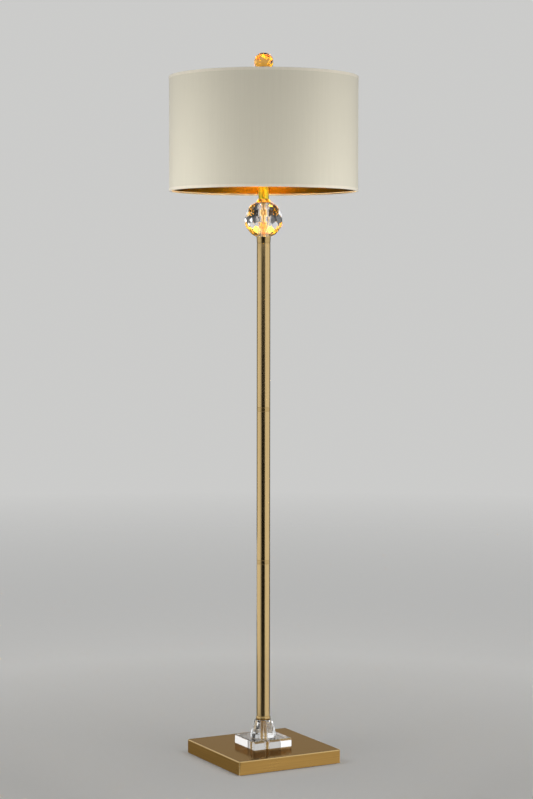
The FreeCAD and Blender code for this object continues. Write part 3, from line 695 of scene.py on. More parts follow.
# %% The crystal block
def crystal_piece(bm, name, node, bore):
    """Drills a crystal along the axis, gives the hole the ground finish and makes the piece."""
    for face in drill(bm, [flat_face(bm, UP), flat_face(bm, -UP)], ORIGIN, UP, bore):
        face.material_index = 1
    make_piece(bm, name, node, clear_crystal, ground_bore, facets=True)


air = 0.06 * mm
foot_bore = radius_of("stand_pipe") + 1 * mm
plinth_top = high("crystal_plinth")
plinth = block(2 * radius_of("crystal_plinth"), low("crystal_plinth") + air, plinth_top)
ground_edges = [edge for edge in plinth.edges if upright(edge) or level_with(edge, plinth_top)]
bevel(plinth, ground_edges, 1.6 * mm, 1)
crystal_piece(plinth, "cut_plinth", "crystal_plinth", foot_bore)


# %% The crystal foot
def edges_of(geom):
    return [part for part in geom if isinstance(part, bmesh.types.BMEdge)]


def drawn_out(bm, edges, move):
    """Extrudes edges by a move. Returns the new points and the new edges."""
    grown = bmesh.ops.extrude_edge_only(bm, edges=edges)["geom"]
    points = [part for part in grown if isinstance(part, bmesh.types.BMVert)]
    bmesh.ops.translate(bm, vec=move, verts=points)
    return points, edges_of(grown)


# Heights above the block and widths across flats, in millimetres
foot_levels = [(0, 53), (9, 52), (25.5, 44), (38.5, 35.5)]
foot_sides = 8
across_corners = 1 / math.cos(math.pi / foot_sides)
foot_bottom = low("crystal_foot") + air
place = Matrix.Translation((0, 0, foot_bottom)) @ Matrix.Rotation(math.pi / foot_sides, 4, "Z")
foot = bmesh.new()
rim = ring_edges(foot, foot_sides, radius_of("crystal_foot") * across_corners, place, capped=True)
for (below, width_below), (above, width_above) in zip(foot_levels, foot_levels[1:]):
    corners, rim = drawn_out(foot, rim, UP * (above - below) * mm)
    narrowing = width_above / width_below
    bmesh.ops.scale(foot, vec=(narrowing, narrowing, 1), verts=corners)
bmesh.ops.edgeloop_fill(foot, edges=rim)
bmesh.ops.recalc_face_normals(foot, faces=foot.faces[:])
bevel(foot, [edge for edge in foot.edges if not level_with(edge, foot_bottom)], 0.45 * mm, 1)
crystal_piece(foot, "cut_foot", "crystal_foot", foot_bore)

# %% [markdown]
# ## The column
#
# Three brass tubes meet at two rings, each ring as wide as the tube. The eased edges on both sides of a
# joint make the pair of fine dark lines seen there. The collar at the foot swells like a bead, and the cup
# at the top opens out to the ball's seat above a shallow groove.

# %% The tubes and the rings
column = radius_of("column_tube_upper")
tube_wall = 1 * mm
tube_ease = 0.3 * mm
ring_ease = 0.6 * mm
for part in ("lower", "middle", "upper"):
    node = f"column_tube_{part}"
    make_piece(tube(node, column - tube_wall, tube_ease), f"tube_{part}", node, satin_brass)
for part in ("lower", "upper"):
    node = f"joint_ring_{part}"
    length = height_of(node)
    ring = turned([
        (pipe_room, 0), (column, 0, ring_ease), (column, length, ring_ease), (pipe_room, length),
    ], low(node))
    make_piece(ring, f"ring_{part}", node, lathe_brass)


# %% The collar
def bow(radius, peak, bottom, top, count=12):
    """Points on an arc that leaves a radius, passes a peak half-way up and comes back, without its ends."""
    half = (top - bottom) / 2
    sweep = 2 * math.atan2(peak - radius, half)
    reach = half / math.sin(sweep)
    points = []
    for k in range(1, count):
        turn = sweep * (2 * k / count - 1)
        points.append((peak - reach + reach * math.cos(turn), bottom + half + reach * math.sin(turn)))
    return points


collar_height = height_of("lower_collar")
shoulder = collar_height - 1.2 * mm
collar = turned(
    [(pipe_room, 0), (column, 0)] + bow(column, radius_of("lower_collar"), 0, shoulder)
    + [(column, shoulder), (column, collar_height, 0.3 * mm), (pipe_room, collar_height)],
    low("lower_collar"),
)
make_piece(collar, "turned_collar", "lower_collar", lathe_brass)

# %% The cup
seat_rim = radius_of("ball_cup")
washer_room = radius_of("ball_washer_lower") + 0.25 * mm
washer_thickness = height_of("ball_washer_lower")
cup_height = height_of("ball_cup")
groove = column - 0.7 * mm
groove_top = 1.2 * mm
cup = turned([
    (pipe_room, 0), (groove, 0), (groove, groove_top), (column, groove_top, 0.3 * mm),
    (column + 0.2 * mm, cup_height * 0.35), (seat_rim, cup_height - 1.6 * mm, 0.8 * mm),
    (seat_rim, cup_height, 0.5 * mm), (washer_room, cup_height, 0.3 * mm),
    (washer_room, cup_height - washer_thickness), (pipe_room, cup_height - washer_thickness),
], low("ball_cup"))
make_piece(cup, "turned_cup", "ball_cup", lathe_brass)

# %% [markdown]
# ## The faceted ball
#
# A crystal ball is ground against a flat wheel, one facet at a time, in rows that are staggered like bricks.
# The mesh is made the same way: a block is cut by one plane for each facet, and each cut is closed. The
# seats above and below are flat, so the ball is drilled from one to the other. The cut edges get a hair of
# bevel.


# %% Grinding
TRIM = 1e-7
FACET_EDGE = math.radians(5)


def grind(bm, point, normal):
    """Cuts a flat facet: what lies beyond the plane goes, and the cut is closed."""
    cut = bmesh.ops.bisect_plane(
        bm, geom=bm.verts[:] + bm.edges[:] + bm.faces[:], dist=TRIM,
        plane_co=point, plane_no=normal, clear_outer=True,
    )["geom_cut"]
    if edges_of(cut):
        bmesh.ops.edgeloop_fill(bm, edges=edges_of(cut))


def ground_ball(width, bottom, top, facets, row_angle, arris):
    """A ball with a flat seat above and below, rows of facets between, and a bevel on each arris."""
    bm = block(2 * width, bottom, top)
    centre = UP * (bottom + top) / 2
    rows = int(QUARTER / row_angle)
    if math.sin(rows * row_angle) > (top - bottom) / width:
        rows -= 1
    for row in range(-rows, rows + 1):
        tilt = row * row_angle
        flat = math.cos(tilt)
        for k in range(facets):
            turn = (k + row % 2 / 2) * FULL_TURN / facets
            normal = Vector((flat * math.cos(turn), flat * math.sin(turn), math.sin(tilt)))
            grind(bm, centre + normal * width / 2, normal)
    bmesh.ops.recalc_face_normals(bm, faces=bm.faces[:])
    bevel(bm, [edge for edge in bm.edges if edge.calc_face_angle() > FACET_EDGE], arris, 1)
    return bm


print("Facets are cut with a trim of", TRIM, "m")

# %% The faceted ball
ball_width = 2 * radius_of("crystal_ball")
ball_bottom = low("crystal_ball") + air
ball_top = high("crystal_ball") - air
ball_bore = radius_of("ball_sleeve") + 1.7 * mm
ball = ground_ball(
    ball_width, ball_bottom, ball_top, facets=12, row_angle=math.radians(20), arris=0.2 * mm
)
crystal_piece(ball, "cut_ball", "crystal_ball", ball_bore)
for part in ("lower", "upper"):
    node = f"ball_washer_{part}"
    make_piece(tube(node, pipe_room, 0.3 * mm, SMALL_STEPS), f"seat_washer_{part}", node, washer_rubber)

# %% [markdown]
# ## The cap and the neck
#
# A coned cap holds the ball down and carries the short neck. The cap's spigot reaches up inside the neck, so
# that the two stay in line. Both are turned brass.

# %% The cap and the neck
neck = radius_of("neck_tube")
cap_rise = low("neck_tube") - low("ball_cap")
cap_height = height_of("ball_cap")
spigot = neck - 1.05 * mm
cap = turned([
    (pipe_room, washer_thickness), (washer_room, washer_thickness), (washer_room, 0),
    (seat_rim, 0, 0.4 * mm), (seat_rim, 1.4 * mm, 0.6 * mm), (neck + 1.2 * mm, cap_rise - 2 * mm, 1.2 * mm),
    (neck, cap_rise, 0.2 * mm), (spigot, cap_rise), (spigot, cap_height), (pipe_room, cap_height),
], low("ball_cap"))
make_piece(cap, "turned_cap", "ball_cap", cap_brass)
# The neck takes the greenish yellow brass, a painted glow of the bulb's light
make_piece(tube("neck_tube", neck - tube_wall, tube_ease), "neck", "neck_tube", neck_brass_painted_glow)

# %% [markdown]
# ## Wire and screw threads
#
# A wire is made as a wire bender makes it: a ring of points is pushed along for a straight run, and swung
# about a centre for a bend. A thread is a true screw: a wavy line is spun once while it climbs by one pitch,
# so that each turn joins the next, and its ends are then cut off level.

# %% Wire and screw threads
WIRE_SIDES = 16
BEND_STEP = math.radians(6)
POINTS_A_PITCH = 6


def bent_wire(bm, start, moves, radius):
    """Draws a wire in the XZ plane from start, upwards. A move is (length,) or (bend radius, angle)."""
    place = Vector(start)
    heading = UP
    swing = Vector((0, 1, 0))
    edges = ring_edges(bm, WIRE_SIDES, radius, Matrix.Translation(place), capped=True)
    for move in moves:
        if len(move) == 1:
            run = heading * move[0]
            edges = drawn_out(bm, edges, run)[1]
            place = place + run
        else:
            bend_radius, angle = move
            centre = place + swing.cross(heading) * math.copysign(bend_radius, angle)
            steps = max(3, round(abs(angle) / BEND_STEP))
            edges = edges_of(spin(bm, edges, steps, angle, centre, swing)["geom_last"])
            turn = Matrix.Rotation(angle, 3, swing)
            place = centre + turn @ (place - centre)
            heading = turn @ heading
    bmesh.ops.edgeloop_fill(bm, edges=edges)
    return place


def screw_thread(radius, depth, pitch, bottom, top):
    """A closed threaded rod. Its line runs on past both ends, and what is too long is cut off level."""
    bm = bmesh.new()
    count = math.ceil((top - bottom) / pitch + 3) * POINTS_A_PITCH
    line = []
    for k in range(count + 1):
        wave = (1 + math.cos(FULL_TURN * k / POINTS_A_PITCH)) / 2
        line.append(bm.verts.new((radius - depth * wave, 0, bottom + pitch * (k / POINTS_A_PITCH - 2))))
    edges = [bm.edges.new(pair) for pair in zip(line, line[1:])]
    spin(bm, line + edges, SMALL_STEPS, climb=UP * pitch / SMALL_STEPS)
    bmesh.ops.remove_doubles(bm, verts=bm.verts[:], dist=MERGE)
    grind(bm, UP * bottom, -UP)
    grind(bm, UP * top, UP)
    return bm


print("Wire and thread helpers are ready")

# %% [markdown]
# ## The harp
#
# The harp is one brass wire, bent round the bulb, that carries the shade. It rises straight from the saddle,
# leans out past the glass, runs up and turns in over the top. At its crown sit a boss, on which the shade's
# hub rests, and a threaded stud for the finial.

# %% The harp
harp_low, harp_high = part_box("harp")
wire = 1.8 * mm
leg = 24 * mm
bowed = harp_high.x - wire
boss = 8 * mm
boss_top = low("shade_top_frame") + 0.6 * mm
crown = boss_top - 3 * mm - wire
bend = 30 * mm
top_bend = 40 * mm
bow_rise = 45 * mm
straight = 29.6 * mm
lean = math.atan2(bowed - leg, bow_rise)
bend_share = bend * math.tan(lean / 2)
slant = math.hypot(bowed - leg, bow_rise) - 2 * bend_share
upper_run = crown - top_bend - (harp_low.z + straight + bow_rise + 2 * bend_share)
right_side = [(straight,), (bend, lean), (slant,), (bend, -lean), (upper_run,), (top_bend, -QUARTER)]
left_side = [(top_bend, -QUARTER), (upper_run,), (bend, -lean), (slant,), (bend, lean), (straight,)]
across_top = [(2 * (bowed - top_bend),)]
harp = bmesh.new()
ended = bent_wire(harp, (leg, 0, harp_low.z), right_side + across_top + left_side, wire)
print("the wire ends at", [round(value / mm, 2) for value in ended])
make_piece(harp, "harp_wire", "harp", socket_brass)

# %% The harp's boss and stud
boss_height = boss_top - crown
crown_boss = turned(
    [(0, 0), (boss, 0, 0.6 * mm), (boss, boss_height, 0.6 * mm), (0, boss_height)],
    crown, closed=False, steps=SMALL_STEPS,
)
make_piece(crown_boss, "harp_boss", "harp", socket_brass, extra=True)
stud = screw_thread(3.17 * mm, depth=0.45 * mm, pitch=0.94 * mm, bottom=boss_top, top=harp_high.z)
make_piece(stud, "harp_stud", "harp", socket_brass, extra=True)

# %% [markdown]
# ## The sleeves that lock the harp
#
# A sleeve slides down over each harp leg and the saddle's tongue beside it. It is a short brass tube with a
# shallow waist, which gives the fingers a hold when they lift it.

# %% The sleeves that lock the harp
waist_low = 4 * mm
waist_high = 9.8 * mm
slope = 0.4 * mm
fine = 0.2 * mm
for part in ("left", "right"):
    node = f"ferrule_{part}"
    sleeve_low, sleeve_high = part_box(node)
    outer = (sleeve_high.x - sleeve_low.x) / 2
    inner = outer - 0.8 * mm
    waist = outer - 0.25 * mm
    length = height_of(node)
    sleeve = turned([
        (inner, 0, fine), (outer, 0, fine), (outer, waist_low, fine), (waist, waist_low + slope, fine / 2),
        (waist, waist_high - slope, fine / 2), (outer, waist_high, fine), (outer, length, 2 * fine),
        (inner, length, fine),
    ], sleeve_low.z, steps=SMALL_STEPS)
    bmesh.ops.translate(sleeve, vec=((sleeve_low.x + sleeve_high.x) / 2, 0, 0), verts=sleeve.verts[:])
    make_piece(sleeve, f"sleeve_{part}", node, socket_brass)

# %% [markdown]
# ## The socket and its switch
#
# The socket's cap is spun brass: a bushing, a cone and a rim with a fine rolled line. The shell pressed into
# it keeps its CAD shape. The switch knob is black plastic with grooves for the fingers, made from a
# many-sided bar whose every fourth corner is pulled in.

# %% The socket's cap
socket = radius_of("socket_cap")
socket_height = height_of("socket_cap")
socket_wall = 0.8 * mm
socket_hole = 5.1 * mm
socket_floor = 8 * mm
bushing = 8 * mm
cone_top = 14 * mm
line_level = socket_height - 1.3 * mm
half_line = 0.3 * mm
socket_cap = turned([
    (socket_hole, 0, 0.2 * mm), (bushing, 0, 0.4 * mm), (bushing, socket_floor - socket_wall, 1 * mm),
    (socket, cone_top - socket_wall, 1.5 * mm), (socket, line_level - half_line, 0.1 * mm),
    (socket - 0.25 * mm, line_level, 0.1 * mm), (socket, line_level + half_line, 0.1 * mm),
    (socket, socket_height, 0.3 * mm), (socket - socket_wall, socket_height, 0.2 * mm),
    (socket - socket_wall, cone_top, 0.6 * mm), (bushing, socket_floor, 0.4 * mm),
    (socket_hole, socket_floor),
], low("socket_cap"), steps=MIDDLE_STEPS)
make_piece(socket_cap, "spun_socket_cap", "socket_cap", socket_brass)

# %% The switch knob
knob_low, knob_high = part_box("switch_knob")
knob_radius = 6 * mm
grooves = 12
corners_a_groove = 4
knob_corners = grooves * corners_a_groove
groove_share = 0.1
knob = bmesh.new()
bar = bmesh.ops.create_cone(
    knob, cap_ends=True, segments=knob_corners, radius1=knob_radius, radius2=knob_radius,
    depth=knob_high.y - knob_low.y,
)["verts"]
for vert in bar:
    corner = round(math.atan2(vert.co.y, vert.co.x) / FULL_TURN * knob_corners)
    if corner % corners_a_groove == 0:
        vert.co.xy *= 1 - groove_share
bevel(knob, [edge for edge in knob.edges if not upright(edge)], 0.6 * mm, 3)
to_front = Matrix.Translation((knob_low + knob_high) / 2) @ Matrix.Rotation(QUARTER, 4, "X")
bmesh.ops.transform(knob, matrix=to_front, verts=knob.verts[:])
make_piece(knob, "grooved_knob", "switch_knob", black_plastic)

# %% [markdown]
# ## The bulb
#
# A frosted bulb: a ball of glass that runs down into a throat on a hollow curve. The outline is two arcs
# that meet where their slopes agree, worked out from the ball's and the throat's radii. Below it is the
# screw cap, with the same true screw as the stud, only coarser and rounder.

# %% The bulb
THROAT_STEPS = 8
BALL_STEPS = 24
glass_bottom = low("bulb_glass")
cap_top = high("bulb_screw_cap")
bulb_radius = radius_of("bulb_glass")
bulb_level = high("bulb_glass") - bulb_radius
rise = bulb_level - cap_top
throat = radius_of("bulb_screw_cap") - 0.45 * mm
hollow = (throat ** 2 + rise ** 2 - bulb_radius ** 2) / (2 * (bulb_radius - throat))
meeting = math.atan2(rise, throat + hollow)
outline = [(0, glass_bottom), (throat, glass_bottom), (throat, cap_top)]
for k in range(1, THROAT_STEPS + 1):
    angle = meeting * k / THROAT_STEPS
    outline.append((throat + hollow - hollow * math.cos(angle), cap_top + hollow * math.sin(angle)))
for k in range(1, BALL_STEPS + 1):
    angle = -meeting + (meeting + QUARTER) * k / BALL_STEPS
    outline.append((max(0.0, bulb_radius * math.cos(angle)), bulb_level + bulb_radius * math.sin(angle)))
bulb = turned(outline, closed=False, steps=MIDDLE_STEPS)
make_piece(bulb, "frosted_bulb", "bulb_glass", bulb_frost)

# %% The bulb's screw cap
cap_radius = radius_of("bulb_screw_cap")
cap_bottom = low("bulb_screw_cap")
bulb_cap = screw_thread(cap_radius, depth=0.4 * mm, pitch=3.6 * mm, bottom=cap_bottom, top=cap_top)
make_piece(bulb_cap, "bulb_cap", "bulb_screw_cap", bulb_alloy)

# %% [markdown]
# ## The drum shade
#
# The shade is two sheets rolled into a drum, cloth outside and gold foil inside, held at both rims by a wire
# ring and a folded tape. Each is an outline spun in many steps, because the silhouette of so large a round
# shows every corner. The cover gets a UV map in metres, unrolled from the rear, where the cloth overlaps in
# a seam.

# %% The drum shade
DRUM_STEPS = 240
cover = radius_of("shade_cover")
lining = radius_of("shade_lining")
drum_height = height_of("shade_cover")
lining_thickness = 0.3 * mm
glue_gap = 0.05 * mm


def unroll(bm, radius):
    """Lays a round cloth flat on a UV map in metres, with the cut at the rear."""
    bmesh.ops.remove_doubles(bm, verts=bm.verts[:], dist=MERGE)
    layer = bm.loops.layers.uv.new("cloth")
    for face in bm.faces:
        middle = face.calc_center_median()
        facing = math.atan2(middle.x, -middle.y)
        for loop in face.loops:
            spot = loop.vert.co
            turn = math.atan2(spot.x, -spot.y) - facing
            turn = (turn + math.pi) % FULL_TURN - math.pi
            loop[layer].uv = ((facing + turn) * radius, spot.z)


def rolled(radius, bore, name, node, finish):
    """A sheet rolled into a drum that is as high as the cover."""
    ends = [(bore, 0), (radius, 0), (radius, drum_height), (bore, drum_height)]
    sheet = turned(ends, low("shade_cover"), steps=DRUM_STEPS)
    unroll(sheet, radius)
    return make_piece(sheet, name, node, finish)


drum_cover = rolled(cover, lining + glue_gap, "drum_cover", "shade_cover", cream_cloth)
rolled(lining, lining - lining_thickness, "drum_lining", "shade_lining", gold_foil_painted_shade)

# %% The hems
ring_wire = 1.7 * mm
tape = 0.5 * mm
tuck = 4 * mm


def hem(name, node, edge, inward):
    """Tape folded over a rim: edge is the rim's height, inward is up or down."""
    outer = radius_of(node)
    inner = radius_of("shade_bottom_ring") - 2 * ring_wire - tape - glue_gap
    width = inward * height_of(node)
    turn_in = inward * tuck
    fold = inward * tape
    bm = turned([
        (inner, 0, 0.4 * mm), (outer, 0, 0.4 * mm), (outer, width, 0.2 * mm), (outer - tape, width),
        (outer - tape, fold), (inner + tape, fold), (inner + tape, turn_in), (inner, turn_in, 0.2 * mm),
    ], edge, steps=DRUM_STEPS)
    unroll(bm, outer)
    # The inner turn-in of each hem takes the darker tape, painted shade inside the drum
    for face in bm.faces:
        face.material_index = int(face.calc_center_median().xy.length < inner + tape)
    return make_piece(bm, name, node, cream_tape, shaded_inner_tape)


hem_top = hem("hem_top", "shade_trim_top", high("shade_trim_top"), -1)
hem_bottom = hem("hem_bottom", "shade_trim_bottom", low("shade_trim_bottom"), 1)

# %% The seam
SEAM_STEPS = 8
seam_width = 14 * mm
seam_rise = 0.4 * mm
seam_low = high("shade_trim_bottom")
seam_high = low("shade_trim_top")
proud = cover + seam_rise
strip = [(cover, seam_low), (proud, seam_low), (proud, seam_high), (cover, seam_high)]
seam = bmesh.new()
quad = seam.faces.new([seam.verts.new((0, reach, height)) for reach, height in strip])
spin(seam, [quad] + quad.edges[:] + quad.verts[:], SEAM_STEPS, angle=seam_width / cover)
unroll(seam, cover)
cover_seam = make_piece(seam, "cover_seam", "shade_cover", cream_tape, extra=True)

# %% [markdown]
# ## The shade's wire frame
#
# Each rim has a steel ring. The upper one also has three arms, which meet in a hub that drops over the
# harp's stud. The rings are a small circle spun about the axis, and the arms are straight runs of wire.

# %% The hoops
HOOP_SIDES = 12
ring_radius = radius_of("shade_bottom_ring") - ring_wire


def hoop(level):
    bm = bmesh.new()
    section = Matrix.Translation((ring_radius, 0, level)) @ Matrix.Rotation(QUARTER, 4, "X")
    ring_edges(bm, HOOP_SIDES, ring_wire, section)
    spin(bm, bm.verts[:] + bm.edges[:], DRUM_STEPS)
    return bm


lower_level = (low("shade_bottom_ring") + high("shade_bottom_ring")) / 2
upper_level = high("shade_top_frame") - ring_wire
make_piece(hoop(lower_level), "lower_hoop", "shade_bottom_ring", powder_coat)
make_piece(hoop(upper_level), "upper_hoop", "shade_top_frame", powder_coat)

# %% The hub and its arms
WIRE_END = math.radians(60)
arms = 3
arm_wire = 1.6 * mm
hub_radius = 15 * mm
hub_thickness = 2 * mm
stud_room = 3.475 * mm
hub = turned([
    (stud_room, 0, 0.2 * mm), (hub_radius, 0, 0.4 * mm), (hub_radius, hub_thickness, 0.6 * mm),
    (stud_room, hub_thickness, 0.2 * mm),
], boss_top)
make_piece(hub, "spider_hub", "shade_top_frame", powder_coat, extra=True)
for k in range(arms):
    out = Matrix.Rotation(QUARTER + k * FULL_TURN / arms, 3, "Z") @ Vector((1, 0, 0))
    start = out * (hub_radius - 2 * arm_wire) + UP * (boss_top + hub_thickness / 2)
    end = out * (ring_radius - ring_wire / 2) + UP * upper_level
    arm = bmesh.new()
    bmesh.ops.create_cone(
        arm, cap_ends=True, segments=WIRE_SIDES, radius1=arm_wire, radius2=arm_wire,
        depth=(end - start).length, matrix=Matrix.Translation((start + end) / 2) @ aimed(end - start),
    )
    bevel(arm, [edge for edge in arm.edges if edge.calc_face_angle() > WIRE_END], 0.5 * mm, 2)
    make_piece(arm, f"spider_arm_{k + 1}", "shade_top_frame", powder_coat, extra=True)

# %% [markdown]
# ## The finial
#
# A small faceted crystal ball on a waisted brass stem, which screws down on the stud and holds the shade.
# Its amber tint is a painted glow of the lit shade. The ball is ground like the large one. The stem's waist
# is an arc between two flanges.

# %% The finial's stem
stem_low = low("finial_base")
seat = low("finial_ball") - stem_low
flange = radius_of("finial_base")
waist = 5.5 * mm
lip = 3 * mm
lip_ease = 0.5 * mm
pin = 3 * mm
pin_top = height_of("finial_base")
room_top = 12.3 * mm
stem = turned(
    [(stud_room, 0, 0.2 * mm), (flange, 0, lip_ease), (flange, lip, lip_ease)]
    + bow(flange, waist, lip, seat - lip, 16)
    + [(flange, seat - lip, lip_ease), (flange, seat, lip_ease), (pin, seat), (pin, pin_top), (0, pin_top)],
    stem_low, closed=False, steps=MIDDLE_STEPS,
)
bmesh.ops.remove_doubles(stem, verts=stem.verts[:], dist=MERGE)
rim = drawn_out(stem, [edge for edge in stem.edges if edge.is_boundary], UP * room_top)[1]
bmesh.ops.edgeloop_fill(stem, edges=rim)
make_piece(stem, "finial_stem", "finial_base", lathe_brass)

# %% The finial's ball
gem_width = 41 * mm
gem_bottom = low("finial_ball") + air
gem_top = high("finial_ball")
gem = ground_ball(
    gem_width, gem_bottom, gem_top, facets=10, row_angle=math.radians(26), arris=0.15 * mm
)
make_piece(gem, "finial_gem", "finial_ball", amber_crystal, facets=True)

# %% [markdown]
# ## Dressing the pieces that stay
#
# The pieces inside the lamp keep their CAD shape. Each takes the finish of its record slot, so that a look
# into the shade or under the base finds no bare grey.

# %% Dressing the pieces that stay
slot_finish = {
    "pipe_brass": pipe_brass, "socket_brass": socket_brass, "zinc_steel": zinc_plate,
    "ballast_iron": cast_iron, "black_plastic": black_plastic, "fibre": fibre_card,
    "bulb_insulation": black_glass, "lead_sheath": lead_sheath, "terminal_plastic": terminal_plastic,
}
kept = [name for name, node in frame["nodes"].items() if not node.hide_render]
for name in kept:
    for place in frame["nodes"][name].material_slots:
        place.material = slot_finish[slot_of[name]]
print(len(kept), "CAD pieces keep their shape")

# %% [markdown]
# ## The room and the floor
#
# The lamp stands in a plain pale room. What the camera, the brass and the crystal see of it is brighter than
# the light it gives, so that the metal has soft reflections and the shadows stay. The floor is pale and
# fades into the room, so that no edge shows.

# %% The room
view_azimuth = math.radians(28.35)
to_camera = Vector((-math.sin(view_azimuth), -math.cos(view_azimuth), 0))
room_grey = 0.60
room_light = 0.10


def looked_at(tree):
    """One for a ray from the camera, metal or glass, and nought for one that only gathers light."""
    ray = tree.nodes.new("ShaderNodeLightPath").outputs
    mirrored = maths(tree, "MAXIMUM", ray["Is Glossy Ray"], ray["Is Transmission Ray"])
    return maths(tree, "MAXIMUM", ray["Is Camera Ray"], mirrored)


world = bpy.data.worlds.new("pale_room")
world.use_nodes = True
tree = world.node_tree
backdrop = tree.nodes["Background"]
ambient = tree.nodes.new("ShaderNodeBackground")
for source, level in ((backdrop, room_grey), (ambient, room_light)):
    source.inputs["Color"].default_value = (level, level, 0.985 * level, 1)
room = tree.nodes.new("ShaderNodeMixShader")
feed(tree, room.inputs[0], looked_at(tree))
feed(tree, room.inputs[1], ambient.outputs[0])
feed(tree, room.inputs[2], backdrop.outputs[0])
feed(tree, tree.nodes["World Output"].inputs["Surface"], room.outputs[0])
bpy.context.scene.world = world
print("The room is", world.name)

# %% The floor
floor_radius = 8.0
floor_finish, tree, shader, spot = new_finish(
    "pale_floor", Roughness=0.8, Specular_IOR_Level=0.0, Base_Color=(0.72, 0.72, 0.71, 1),
    Emission_Color=(1.0, 1.0, 0.985, 1),
)
away = tree.nodes.new("ShaderNodeVectorMath")
away.operation = "LENGTH"
feed(tree, away.inputs[0], spot["Object"])
feed(tree, shader["Alpha"], spread(tree, away.outputs["Value"], 1.0, 0.0, (1.2, 6.0)))
lift = spread(tree, away.outputs["Value"], 0.07, 0.30, (0.2, 1.3))
feed(tree, shader["Emission Strength"], maths(tree, "MULTIPLY", looked_at(tree), lift))
disc = bmesh.new()
bmesh.ops.create_circle(disc, cap_ends=True, segments=ROUND_STEPS, radius=floor_radius)
mesh_in_scene(disc, "floor", [floor_finish])
print("The floor reaches", floor_radius, "m out")

# %% [markdown]
# ## The cards
#
# Brass and crystal look like what they mirror, so they see a set of curved cards, which nothing else does.
# Bright ones at the sides draw the light bands on the column, dark ones in front and behind draw its middle
# line and its edges, two small ones are seen in the crystal foot, and the ones on the floor are mirrored by
# the base. The dark cards let rising rays through, so that the top of the base, which mirrors what is above
# it, keeps its colour from every side.

# %% The cards' finishes
nearly_black = (0.012, 0.012, 0.012)
black = (0.0, 0.0, 0.0)
# A dark card stops a ray whose way back falls no more steeply than this
steepest = -0.05


def card_finish(name, colour, glow=0.0):
    return new_finish(
        name, Roughness=0.9, Base_Color=(*colour, 1), Emission_Color=(1, 1, 1, 1), Emission_Strength=glow
    )


dark_card, tree, shader, spot = card_finish("dark_card", nearly_black)
way_back = tree.nodes.new("ShaderNodeSeparateXYZ")
feed(tree, way_back.inputs[0], tree.nodes.new("ShaderNodeNewGeometry").outputs["Incoming"])
feed(tree, shader["Alpha"], maths(tree, "GREATER_THAN", way_back.outputs["Z"], steepest))
black_card = card_finish("black_card", nearly_black)[0]
grey_card = card_finish("grey_card", (0.12, 0.12, 0.125))[0]
bright_card = card_finish("bright_card", black, 1.1)[0]
soft_card = card_finish("soft_card", black, 0.92)[0]
dim_card = card_finish("dim_card", black, 0.36)[0]
print("Card finishes:", dark_card.name, "to", dim_card.name)

# %% The cards
CARD_STEPS = 16


def curved_card(name, finish, middle, half_width, outline):
    """A curved card that only metal and crystal see. Angles in degrees from the camera's side, and the
    outline in (distance, height) points."""
    bm = bmesh.new()
    turn = Matrix.Rotation(math.radians(middle - half_width), 3, "Z")
    verts = [bm.verts.new(turn @ to_camera * distance + UP * height) for distance, height in outline]
    edges = [bm.edges.new(pair) for pair in zip(verts, verts[1:])]
    spin(bm, verts + edges, CARD_STEPS, angle=math.radians(2 * half_width))
    card = mesh_in_scene(bm, name, [finish])
    card.visible_camera = False
    card.visible_diffuse = False
    card.visible_shadow = False


curved_card("front_card", dark_card, -5, 29, [(0.3, 0.004), (1.5, 0.004), (1.5, 1.19)])
curved_card("rear_card", dark_card, 180, 55, [(0.8, 0.40), (0.8, 1.16)])
curved_card("ball_card", grey_card, 180, 55, [(0.8, 1.16), (0.8, 1.36)])
curved_card("rear_floor_card", dark_card, 180, 55, [(0.46, 0.003), (4.0, 0.003)])
curved_card("foot_card", soft_card, -147, 7, [(0.78, 0.20), (0.78, 0.39)])
curved_card("foot_stripe", black_card, 147.4, 0.45, [(0.78, 0.06), (0.78, 0.60)])
curved_card("top_card", bright_card, 0, 70, [(0.35, 2.2), (1.3, 2.2)])
curved_card("left_card", bright_card, -92, 42, [(1.3, 0.0), (1.3, 1.2)])
curved_card("left_floor_card", soft_card, -80, 30, [(0.45, 0.004), (1.3, 0.004)])
curved_card("left_base_card", dim_card, -90, 72, [(0.10, 0.001), (0.44, 0.001)])
curved_card("right_card", bright_card, 76, 46, [(1.3, 0.004), (1.3, 2.2)])
curved_card("right_floor_card", soft_card, 76, 46, [(0.30, 0.001), (1.3, 0.001)])
curved_card("right_base_card", soft_card, 52, 70, [(0.10, 0.001), (0.29, 0.001)])
print("Thirteen cards stand round the lamp")

# %% [markdown]
# ## The lights
#
# Two soft lights stand at the sides, level with the upper column, and a broad one hangs above. None of them
# shows in the brass, where the cards stand in for them. A glowing surface alone lights a shade with much
# grain, so the bulb also has a round light, just larger than its glass, which would else shade it.


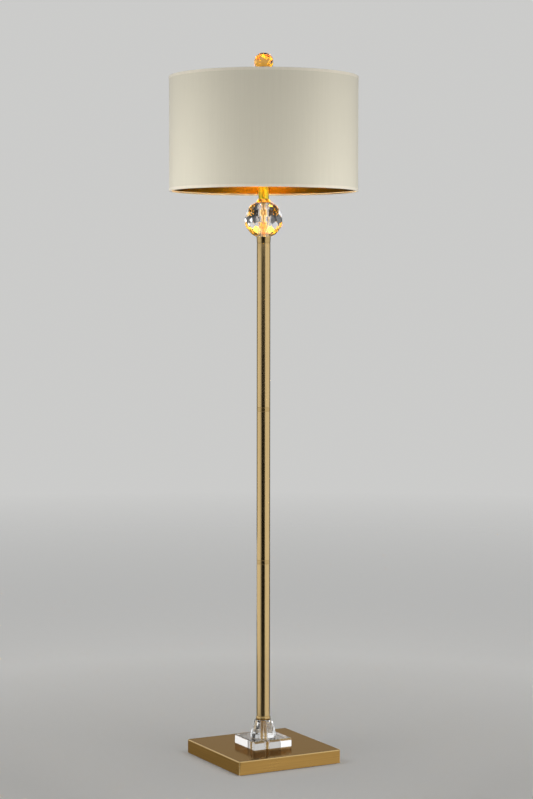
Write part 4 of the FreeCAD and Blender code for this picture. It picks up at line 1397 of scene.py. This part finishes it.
# %% The lights
def softbox(name, azimuth, distance, width, bottom, top, radiance, aim):
    """A soft light that faces the lamp at the height aim. Azimuth in degrees from the camera's side."""
    data = bpy.data.lights.new(name, "AREA")
    data.shape = "RECTANGLE"
    data.size = width
    data.size_y = top - bottom
    data.energy = radiance * math.pi * width * (top - bottom)
    light = in_scene(name, data)
    outward = Matrix.Rotation(math.radians(azimuth), 3, "Z") @ to_camera
    light.location = outward * distance + UP * (bottom + top) / 2
    light.rotation_euler = (UP * aim - light.location).to_track_quat("-Z", "Y").to_euler()
    light.visible_camera = False
    light.visible_glossy = False


side_light = {"distance": 0.85, "width": 0.55, "bottom": 0.75, "top": 1.40, "aim": 1.30}
softbox("left_light", azimuth=-58, radiance=4.8, **side_light)
softbox("right_light", azimuth=53, radiance=4.5, **side_light)
softbox("top_light", azimuth=0, distance=0.0, width=2.0, bottom=1.5, top=3.5, radiance=0.9, aim=0.0)

glow = bpy.data.lights.new("bulb_glow", "POINT")
glow.color = warm
glow.energy = 3.5
glow.use_soft_falloff = False
glow.shadow_soft_size = 33 * mm
bulb_glow = in_scene("bulb_glow", glow)
bulb_glow.location = UP * bulb_level
bulb_glow.visible_camera = False
print("Lights: three soft ones and the bulb's own glow")

# %% [markdown]
# ## The camera
#
# The camera stands 4.5 m away, a little below the shade, and looks down by three degrees, turned so that
# the base shows a wide right side and a narrow left one. A long lens keeps the column straight.

# %% The camera
camera_distance = 4.4915
camera_height = 1.0558
camera_tilt = math.radians(3.128)
camera_aside = 6.5 * mm
camera_roll = math.radians(-0.06)
lens = bpy.data.cameras.new("camera")
lens.sensor_width = 36
lens.lens = 90.74
camera = in_scene("camera", lens)
right_hand = Vector((math.cos(view_azimuth), -math.sin(view_azimuth), 0))
camera.location = to_camera * camera_distance + right_hand * camera_aside + UP * camera_height
camera.rotation_euler = (QUARTER - camera_tilt, camera_roll, -view_azimuth)
bpy.context.scene.camera = camera
bpy.context.scene.view_settings.view_transform = "Standard"
print("Camera at", [round(value, 3) for value in camera.location])
